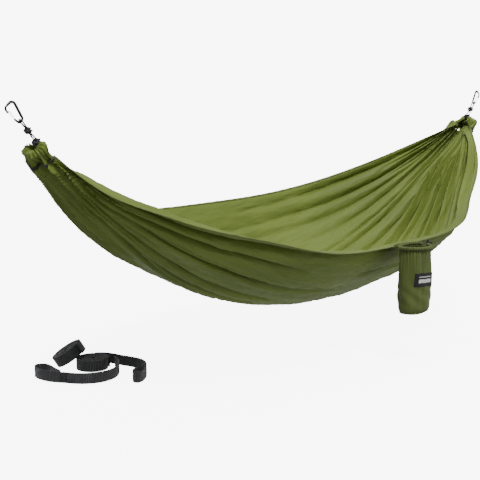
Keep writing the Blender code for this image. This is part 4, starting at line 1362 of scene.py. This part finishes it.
    def drawcord_route(self, lock: np.ndarray, tail: float) -> np.ndarray:
        """The drawcord's line: from its knot through the lock, round the mouth and back.

        Args:
            lock: Middle of the cord lock.
            tail: Where the cord ends along X.

        Returns:
            The points.
        """
        half = [np.array([reach, lock[1] + self.cord_half_spacing, lock[2]])
                for reach in (tail, tail - 0.012, lock[0], lock[0] - 0.0062)]
        first = self.gap_angle * 0.55
        for step in range(1, 19):
            turn = np.array([first + (math.pi - first) * step / 18])
            plan = self.oval(turn)[0]
            half.append(np.array([self.middle[0] + plan[0], self.middle[1] + plan[1],
                                  self.middle[2]]))
        other = [np.array([p[0], 2 * self.middle[1] - p[1], p[2]]) for p in half[-2::-1]]
        return smooth_route(half + other, 320)

    def tail_knot(self, lock: np.ndarray, tail: float) -> bpy.types.Object:
        """The knot that joins the drawcord's ends."""
        step = np.linspace(0, 2 * math.pi, 160, endpoint=False)
        rope = self.cord_radius
        swell = rope * 0.8 * (1 + np.cos(4 * step))
        line = np.stack([tail - self.knot_radius + rope * np.sin(4 * step),
                         lock[1] + (0.0046 + swell) * np.cos(3 * step),
                         lock[2] + (0.0026 + swell) * np.sin(3 * step)], -1)
        return tube("drawcord_end_knot", line, rope, 10, closed=True)

    def tape(self, seam: np.ndarray, length: float, height: float) -> bpy.types.Object:
        """The folded tape that sews the mouth's back to the hem.

        Args:
            seam: Middle of the tape.
            length: Its length along the hem.
            height: Its height.

        Returns:
            The tape.
        """
        run = np.linspace(-length / 2, length / 2, 90)
        sides = 12
        rows = []
        for step in range(sides + 1):
            angle = 2 * math.pi * step / sides
            wave = 0.0003 * np.sin(run * 900)
            rows.append(np.stack([seam[0] + run,
                                  seam[1] + 0.0011 * math.cos(angle) + wave,
                                  seam[2] + height / 2 * math.sin(angle)
                                  + 0.0005 * np.sin(run * 240)], -1))
        flat = np.stack(np.broadcast_arrays(np.linspace(0, height * 2, sides + 1)[None, :],
                                            run[:, None]), -1)
        return lofted("sack_tape", np.stack(rows, 1), flat, wrap=True, capped=True)


@dataclass
class LockSpring:
    """The small compression spring under the cord lock's button."""

    low: Vector
    high: Vector
    wire: float = 0.00035
    turns: int = 4
    travel: float = 0.0035

    def low_middle(self) -> Vector:
        """Middle of the spring's lower end."""
        return Vector(((self.low.x + self.high.x) / 2, (self.low.y + self.high.y) / 2, self.low.z))

    def build(self) -> bpy.types.Object:
        """The coiled wire."""
        share = np.linspace(0, 1, 24 * self.turns + 1)
        turn = 2 * math.pi * self.turns * share
        radius = (self.high.x - self.low.x) / 2 - self.wire
        middle = self.low_middle()
        rise = self.high.z - self.low.z - 2 * self.wire
        line = np.stack([middle.x + radius * np.cos(turn), middle.y + radius * np.sin(turn),
                         middle.z + self.wire + rise * share], -1)
        return tube("lock_coil_spring", line, self.wire, 8)


# --- tree straps ----------------------------------------------------------------------------
@dataclass
class Strap:
    """Ribbed webbing standing on its edge, in a frame of its own."""

    frame: Matrix
    width: float
    thickness: float = 0.0018
    rib: float = 0.0055
    step: float = 0.0011

    def ribbon_into(self, shape: bmesh.types.BMesh, path: np.ndarray, low: float = 0.0,
                    phase: float = 0.0) -> float:
        """Adds a ribbed ribbon along a plan path.

        Args:
            shape: The bmesh.
            path: Plan points, of shape (count, 2).
            low: Height of its lower edge.
            phase: Where its ribs start.

        Returns:
            Its length.
        """
        run = np.concatenate([[0], np.cumsum(np.linalg.norm(np.diff(path, axis=0), axis=1))])
        even = np.linspace(0, run[-1], max(8, int(run[-1] / self.step)))
        line = np.stack([np.interp(even, run, path[:, k]) for k in range(2)], -1)
        ahead = np.gradient(line, axis=0)
        ahead /= np.linalg.norm(ahead, axis=1, keepdims=True)
        side = np.stack([-ahead[:, 1], ahead[:, 0]], -1)
        rib = np.abs(np.sin(math.pi * (even + phase) / self.rib)) ** 0.7
        half = self.thickness / 2 * (0.66 + 0.34 * rib)
        profile = [(0.80, 0.0), (1.0, 0.03), (1.0, 0.5), (1.0, 0.97), (0.80, 1.0),
                   (-0.80, 1.0), (-1.0, 0.97), (-1.0, 0.5), (-1.0, 0.03), (-0.80, 0.0)]
        rows = []
        for across, up in profile + profile[:1]:
            plan = line + side * (half * across)[:, None]
            height = np.full(len(line), low + self.width * up)
            rows.append(np.column_stack([plan, height]))
        points = np.stack(rows, 1)
        turned = np.array(self.frame.to_3x3())
        points = points @ turned.T + np.array(self.frame.translation)
        marks = np.array([up for _, up in profile + profile[:1]]) * self.width
        flat = np.stack(np.broadcast_arrays(marks[None, :], (even + phase)[:, None]), -1)
        piece = lofted("ribbon", points, flat, wrap=True, capped=True)
        shape.from_mesh(piece.data)
        mesh = piece.data
        bpy.data.objects.remove(piece)
        bpy.data.meshes.remove(mesh)
        return float(run[-1])

    def coil(self, name: str, outer: float, hole: float, layers: int, pitch: float,
             seed: int) -> tuple[bpy.types.Object, float]:
        """A wound-up strap of doubled webbing.

        Args:
            name: The coil's name.
            outer: Its outer radius.
            hole: Radius of the hole in its middle.
            layers: How many layers of webbing are wound together.
            pitch: Distance from one turn to the next.
            seed: Start of its own irregularities.

        Returns:
            The object, and the length of its webbing.
        """
        draw = random.Random(seed)
        phases = [draw.uniform(0, 2 * math.pi) for _ in range(2)]
        turns = (outer - hole) / pitch
        turn = np.linspace(0, 2 * math.pi * turns, int(turns * 150))
        shape = bmesh.new()
        total = 0.0
        for layer in range(layers):
            offset = pitch / layers * layer
            radius = outer - self.thickness * 0.55 - offset - pitch * turn / (2 * math.pi)
            inner = np.clip((outer - radius) / (outer - hole), 0, 1)
            radius = np.maximum(radius, hole * 0.75)
            squash = 0.010 + 0.16 * inner ** 2.5
            warp = (1 - squash * (0.5 + 0.5 * np.cos(2 * turn + phases[0]))
                    - 0.05 * inner ** 3 * (0.5 + 0.5 * np.cos(3 * turn + phases[1])))
            path = np.stack([radius * warp * np.cos(turn), radius * warp * np.sin(turn)], -1)
            total += self.ribbon_into(shape, path, 0.0, 0.0021 * layer)
        return add_object(name, shape), total

    def end(self, name: str, path: np.ndarray) -> tuple[bpy.types.Object, float]:
        """A free end along a plan path."""
        shape = bmesh.new()
        length = self.ribbon_into(shape, path[:, :2])
        return add_object(name, shape), length

    def tack(self, name: str, path: np.ndarray, spot: Sequence[float], length: float = 0.016,
             rows: int = 3) -> bpy.types.Object:
        """Close zigzag stitching on the outer side of a run.

        Args:
            name: The stitching's name.
            path: The run's plan path.
            spot: Plan place that it is nearest to.
            length: How long a stretch it covers.
            rows: How many bars it has.

        Returns:
            The stitching.
        """
        near = int(np.argmin(np.linalg.norm(path[:, :2] - np.array(spot), axis=1)))
        ahead = path[min(near + 1, len(path) - 1), :2] - path[max(near - 1, 0), :2]
        ahead /= np.linalg.norm(ahead)
        side = np.array([ahead[1], -ahead[0]])
        centre = path[near, :2] + side * (self.thickness / 2 + 0.0006)
        shape = bmesh.new()
        turned = np.array(self.frame.to_3x3())
        for row in range(rows):
            middle = (row / max(rows - 1, 1) - 0.5) * length
            marks = np.arange(64)
            along = middle + np.where(marks % 2 == 0, 1.0, -1.0) * 0.0011
            up = self.width * (0.13 + 0.74 * marks / 63)
            plan = centre + along[:, None] * ahead
            line = np.column_stack([plan, up]) @ turned.T + np.array(self.frame.translation)
            tube_into(shape, line, 0.0005, 6)
        return add_object(name, shape)


# --- other finishes -------------------------------------------------------------------------
@dataclass(frozen=True)
class Webbing:
    """Black ribbed webbing with a faint weave, and its rib tops painted paler, patchy by noise, as a
    painted highlight.
    """

    rib: float = 0.0055
    dark: Colour = (0.008, 0.008, 0.009)
    # Colour painted on the rib tops: a painted highlight.
    pale: Colour = (0.090, 0.090, 0.095)

    def build(self) -> bpy.types.Material:
        """Lays the webbing's nodes."""
        finish = Finish("black_webbing")
        place = finish.cloth_place()
        across, along, _ = finish.axes(place)
        rib = abs((along * (math.pi / self.rib)).wave())
        weave = (across * (2 * math.pi / 0.0011)).wave() * (along * (2 * math.pi / 0.0016)).wave()
        marked = finish.cloud(finish.place(), 46.0, 4.0)
        # Paler rib tops, patchy by noise: a painted highlight on the ribs.
        top = rib.spread(0.55, 1.0) * marked.spread(0.25, 0.75, 0.25, 0.9)
        finish.set(Base_Color=finish.blend(top, self.dark, self.pale),
                   Roughness=marked.spread(0.2, 0.8, 0.55, 0.72),
                   Normal=finish.bump(weave + rib * 1.5, 0.5, 0.0004), Sheen_Weight=0.3,
                   Sheen_Roughness=0.35, Specular_IOR_Level=0.4)
        return finish.material


@dataclass(frozen=True)
class Cordage:
    """Black braided cord or sewing thread."""

    name: str = "black_braid"
    pitch: float = 0.0030
    radius: float = 0.0024
    dark: Colour = (0.010, 0.010, 0.011)
    # Colour painted on the braid's raised strands: a painted highlight.
    pale: Colour = (0.040, 0.040, 0.043)

    def build(self) -> bpy.types.Material:
        """Lays the braid's nodes."""
        finish = Finish(self.name)
        across, along, _ = finish.axes(finish.cloth_place())
        turn = across * (4 / self.radius)
        climb = along * (2 * math.pi / self.pitch)
        braid = (turn + climb).wave() * (turn - climb).wave()
        # The braid's raised strands are painted paler than its hollows: a painted highlight.
        finish.set(Base_Color=finish.blend(braid.spread(-0.4, 0.9), self.dark, self.pale),
                   Roughness=braid.spread(-1, 1, 0.75, 0.6),
                   Normal=finish.bump(braid, 0.6, 0.0004), Sheen_Weight=0.25,
                   Specular_IOR_Level=0.35)
        return finish.material


@dataclass(frozen=True)
class Alloy:
    """Black anodised aluminium with fine handling marks."""

    def build(self) -> bpy.types.Material:
        """Lays the alloy's nodes."""
        finish = Finish("black_anodised")
        place = finish.place()
        scuffs = finish.cloud(finish.scaled(place, (1, 1, 3)), 180.0, 5.0, 0.65)
        broad = finish.cloud(place, 40.0, 2.0)
        marked = scuffs.spread(0.62, 0.78) * broad.spread(0.45, 0.7)
        finish.set(Base_Color=finish.blend(marked, (0.016, 0.017, 0.019), (0.14, 0.14, 0.15)),
                   Metallic=marked.spread(0, 1, 0.35, 0.9),
                   Roughness=scuffs.spread(0.3, 0.8, 0.26, 0.42),
                   Normal=finish.bump(scuffs, 0.06, 0.0002))
        return finish.material


@dataclass(frozen=True)
class Steel:
    """Drawn stainless wire."""

    def build(self) -> bpy.types.Material:
        """Lays the steel's nodes."""
        finish = Finish("stainless_wire")
        drawn = finish.cloud(finish.scaled(finish.place(), (260, 60, 60)), 6.0, 3.0)
        finish.set(Base_Color=finish.blend(drawn, (0.20, 0.20, 0.21), (0.34, 0.34, 0.35)),
                   Metallic=1.0, Roughness=drawn.spread(0.2, 0.8, 0.22, 0.36),
                   Normal=finish.bump(drawn, 0.05, 0.0001))
        return finish.material


@dataclass(frozen=True)
class Plastic:
    """Moulded black plastic with a fine spark texture."""

    def build(self) -> bpy.types.Material:
        """Lays the plastic's nodes."""
        finish = Finish("moulded_plastic")
        grain = finish.cloud(finish.place(), 2600.0, 2.0)
        broad = finish.cloud(finish.place(), 90.0, 2.0)
        finish.set(Base_Color=finish.blend(broad, (0.014, 0.014, 0.015), (0.026, 0.026, 0.028)),
                   Roughness=grain.spread(0.2, 0.8, 0.38, 0.52),
                   Normal=finish.bump(grain, 0.15, 0.0001))
        return finish.material


@dataclass(frozen=True)
class WovenLabel:
    """Black damask with two plain pale bars."""

    bar_length: float = 0.054
    bar_height: float = 0.0124
    thin_height: float = 0.0028
    thread: float = 0.0010

    def build(self) -> bpy.types.Material:
        """Lays the label's nodes."""
        finish = Finish("woven_label")
        across, down, _ = finish.axes(finish.cloth_place())
        twill = ((across + down) * (2 * math.pi / self.thread)).wave()
        within = (abs(across) * -1.0).step(-self.bar_length / 2)
        bar = (abs(down - 0.004) * -1.0).step(-self.bar_height / 2) * within
        thin = (abs(down + 0.0105) * -1.0).step(-self.thin_height / 2) * within
        pale = bar.larger(thin)
        pale = pale * twill.spread(-1, 1, 0.80, 1.0)
        finish.set(Base_Color=finish.blend(pale, (0.012, 0.012, 0.012), (0.62, 0.62, 0.60)),
                   Roughness=twill.spread(-1, 1, 0.5, 0.65),
                   Normal=finish.bump(twill + pale * 2.0, 0.35, 0.0002),
                   Specular_IOR_Level=0.35)
        return finish.material


# --- putting it together --------------------------------------------------------------------
@dataclass
class Assembly:
    """Seats finished pieces in the frame's places."""

    frame: dict
    finishes: dict[str, bpy.types.Material] = field(default_factory=dict)

    def seat(self, piece: bpy.types.Object, look: str, slot: str, *nodes: str) -> None:
        """Gives a piece its finish, its body and the nodes that it stands for.

        Args:
            piece: The piece.
            look: Key of its finish.
            slot: The record's slot for its finish; not used.
            nodes: The frame's nodes that it replaces.
        """
        piece.data.materials.clear()
        piece.data.materials.append(self.finishes[look])
        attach(piece, self.frame["nodes"][nodes[0]]["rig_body"])
        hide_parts(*nodes)
        LOG.info("%s stands for %s", piece.name, ", ".join(nodes))

    def repaint(self, look: str, *nodes: str) -> None:
        """Gives carried-over nodes a finish."""
        for name in nodes:
            materials = self.frame["nodes"][name].data.materials
            for index in range(len(materials)):
                materials[index] = self.finishes[look]
            LOG.info("%s keeps its shape", name)


LONG_RUN = [(-0.053, -0.184), (-0.013, -0.189), (0.027, -0.180), (0.062, -0.152),
            (0.082, -0.115), (0.090, -0.072), (0.088, -0.030), (0.077, 0.006)]
LONG_LOOP = [(-0.108, -0.143), (-0.125, -0.110), (-0.142, -0.075), (-0.160, -0.052),
             (-0.181, -0.047), (-0.195, -0.060), (-0.193, -0.084), (-0.174, -0.116),
             (-0.139, -0.147)]
LONG_LOOP_JOIN = (-0.096, -0.1655)
SHORT_RUN = [(0.010, 0.0642), (0.040, 0.061), (0.072, 0.042), (0.105, 0.012), (0.140, -0.016),
             (0.167, -0.045), (0.180, -0.080), (0.182, -0.115), (0.177, -0.150)]
SHORT_LOOP = [(0.166, -0.185), (0.150, -0.204), (0.136, -0.198), (0.132, -0.178),
              (0.140, -0.155), (0.156, -0.132), (0.171, -0.112)]


def plan_route(points: Sequence[tuple[float, float]], count: int = 300) -> np.ndarray:
    """A smooth plan route through plan points."""
    return smooth_route([(x, y, 0.0) for x, y in points], count)


def build_hammock(assembly: Assembly, bed: Bed) -> None:
    """The bed with its hems, its gathered ends and their channel stitches."""
    cloth, places = bed.build()
    assembly.seat(cloth, "cloth", "olive_nylon", "hammock_fabric")
    near = bed.hem("near_rolled_hem", places, 0, 3)
    far = bed.hem("far_rolled_hem", places, -1, -4)
    assembly.seat(near, "hem", "hem_nylon", "near_hem")
    assembly.seat(far, "hem", "hem_nylon", "far_hem")
    on_it = [near, far]
    for side in Side:
        crown = bed.crown(side)
        assembly.seat(crown, "cloth", "olive_nylon", f"{side.value}_end_channel")
        threads = bed.seam_threads(side, places)
        assembly.seat(threads, "thread", "black_thread", f"{side.value}_channel_seam")
        on_it += [crown, threads]


def build_ends(assembly: Assembly, bed: Bed) -> None:
    """Both suspension cords with their knots, and both carabiners."""
    bearing = bed.bearing
    for side in Side:
        suspension = Suspension(bed, side, bearing)
        cord, line = suspension.cord()
        assembly.seat(cord, "cord", "black_cord", f"{side.value}_suspension_cord")
        loop = suspension.knot(f"{side.value}_loop_wraps", suspension.knot_height(),
                               suspension.loop_rope)
        assembly.seat(loop, "cord", "black_cord", f"{side.value}_loop_knot")
        gathered = suspension.knot(f"{side.value}_gather_wraps",
                                   suspension.gather_knot_at, suspension.gather_rope)
        assembly.seat(gathered, "cord", "black_cord", f"{side.value}_gather_knot")
        body = Carabiner(bed, side, bearing).body()
        assembly.seat(body, "alloy", "black_alloy", f"{side.value}_carabiner_body")
        assembly.repaint("steel", f"{side.value}_gate_wire")


def build_sack(assembly: Assembly) -> None:
    """The stuff sack with its label, drawcord and cord lock."""
    low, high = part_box("sack_body")
    lock_low, lock_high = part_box("cord_lock_barrel")
    knot_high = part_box("drawcord_knot")[1]
    mouth_low, mouth_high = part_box("sack_mouth_channel")
    lock = np.array((lock_low + lock_high) / 2)
    middle = np.array([(low.x + high.x) / 2, (low.y + high.y) / 2,
                       (mouth_low.z + mouth_high.z) / 2])
    wide_share, deep_share, under_channel = 0.46, 0.47, 0.002
    sack = Sack(middle=middle, top=high.z + under_channel,
                half_width=(high.x - low.x) * wide_share,
                half_depth=(high.y - low.y) * deep_share, height=high.z - low.z + under_channel)
    body = sack.body()
    assembly.seat(body, "sack", "olive_nylon", "sack_body")
    channel = sack.channel()
    assembly.seat(channel, "sack", "olive_nylon", "sack_mouth_channel")
    base = sack.base()
    assembly.seat(base, "sack", "olive_nylon", "sack_base")
    label = sack.label()
    assembly.seat(label, "label", "label_cloth", "sack_label")
    tape_low, tape_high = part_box("sack_seam_tape")
    tape = sack.tape(np.array((tape_low + tape_high) / 2), tape_high.x - tape_low.x,
                     tape_high.z - tape_low.z)
    assembly.seat(tape, "hem", "hem_nylon", "sack_seam_tape")
    line = sack.drawcord_route(lock, knot_high.x)
    cord = tube("mouth_cord", line, sack.cord_radius, 10)
    assembly.seat(cord, "fine_cord", "black_cord", "sack_drawcord")
    knot = sack.tail_knot(lock, knot_high.x)
    assembly.seat(knot, "fine_cord", "black_cord", "drawcord_knot")
    assembly.repaint("plastic", "cord_lock_barrel", "cord_lock_button")
    spring = LockSpring(*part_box("cord_lock_spring"))
    coil = spring.build()
    assembly.seat(coil, "steel", "gate_steel", "cord_lock_spring")
    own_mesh(coil)


@dataclass(frozen=True)
class StrapLayout:
    """Where the two tree straps lie, and how they are wound."""

    ground: float
    width: float = 0.038
    gap: float = 0.0004
    half_thickness: float = 0.001
    spot: tuple[float, float] = (0.515, 0.310)
    heading: float = math.radians(-38.6)
    outer: float = 0.061
    lean_outer: float = 0.058
    hole: float = 0.009
    layers: int = 2
    pitch: float = 0.0068
    lean_pitch: float = 0.0064
    lean: float = math.radians(32)
    lean_back: float = 0.029
    tail_middle: float = math.radians(-6)
    tail_arc: float = math.radians(64)
    short_tack: tuple[float, float] = (0.1815, -0.098)

    def flat_frame(self) -> Matrix:
        """Frame of the coil that lies flat."""
        return (Matrix.Translation((*self.spot, self.ground))
                @ Matrix.Rotation(self.heading, 4, "Z"))

    def lean_frame(self) -> Matrix:
        """Frame of the coil that leans on the flat one's rim."""
        rise = self.width + 3 * self.gap
        left = -self.outer - rise / math.tan(self.lean)
        return (self.flat_frame()
                @ Matrix.Translation((left, self.lean_back, self.gap))
                @ Matrix.Rotation(-self.lean, 4, "Y")
                @ Matrix.Translation((self.lean_outer, 0, 0)))

    def tail(self) -> np.ndarray:
        """Plan path of the leaning coil's outer end."""
        radius = self.lean_outer + self.half_thickness + 2 * self.gap
        turn = self.tail_middle + self.tail_arc * (np.linspace(0, 1, 60) - 0.5)
        return np.stack([radius * np.cos(turn), radius * np.sin(turn)], -1)


def build_straps(assembly: Assembly) -> None:
    """Both tree straps: a flat coil with two free ends, and a coil that leans on it."""
    layout = StrapLayout(ground=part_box("first_strap_coil")[0].z)
    width = layout.width
    first = Strap(layout.flat_frame(), width)
    coil, length = first.coil("flat_coil", layout.outer, layout.hole, layout.layers,
                              layout.pitch, 5)
    assembly.seat(coil, "webbing", "strap_webbing", "first_strap_coil")
    long_path = plan_route(LONG_LOOP + [LONG_LOOP_JOIN] + LONG_RUN)
    short_path = plan_route(SHORT_RUN + SHORT_LOOP)
    for end, path, spot in (("long", long_path, LONG_LOOP_JOIN),
                            ("short", short_path, layout.short_tack)):
        piece, length = first.end(f"{end}_free_end", path)
        assembly.seat(piece, "webbing", "strap_webbing", f"first_strap_{end}_end")
        tack = first.tack(f"{end}_bar_tack", path, spot)
        assembly.seat(tack, "thread", "black_thread", f"first_strap_{end}_tack")
    second = Strap(layout.lean_frame(), width)
    leaning, length = second.coil("leaning_coil", layout.lean_outer, layout.hole,
                                  layout.layers, layout.lean_pitch, 9)
    assembly.seat(leaning, "webbing", "strap_webbing", "second_strap_coil")
    tail, length = second.end("leaning_tail", layout.tail())
    assembly.seat(tail, "webbing", "strap_webbing", "second_strap_end")


def main() -> None:
    """Builds the object around its frame."""
    logging.basicConfig(level=logging.INFO, format="%(message)s")
    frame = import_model()
    cad_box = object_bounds()
    studio = Studio(ground=cad_box[0].z)
    studio.camera()
    studio.light()
    studio.floor()
    assembly = Assembly(frame, {
        "cloth": NylonCloth().build(),
        "hem": NylonCloth("hem_taffeta", (0.12, 0.155, 0.035), (0.085, 0.115, 0.024)).build(),
        # The sack's finish is the bed's olive nylon with its colours darkened to about half: painted
        # shade.
        "sack": NylonCloth("shaded_sack_taffeta", (0.080, 0.104, 0.024), (0.058, 0.078, 0.015),
                           crinkle=0.5).build(),
        "webbing": Webbing().build(),
        "cord": Cordage().build(),
        "fine_cord": Cordage("fine_braid", 0.0016, 0.0012).build(),
        "thread": Cordage("black_stitching", 0.0012, 0.0008).build(),
        "alloy": Alloy().build(),
        "steel": Steel().build(),
        "plastic": Plastic().build(),
        "label": WovenLabel().build(),
    })
    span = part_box("right_carabiner_body")[1].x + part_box("left_carabiner_body")[0].x
    swing = next(joint for joint in frame["record"]["behaviour"]["joints"]
                 if joint["name"] == "hammock_swing")
    bed = Bed(span=span, bearing=np.array(swing["pos_m"], float), gather=LEFT_GATHER)
    build_ends(assembly, bed)
    build_hammock(assembly, bed)
    build_sack(assembly)
    build_straps(assembly)


if __name__ == "__main__":
    main()
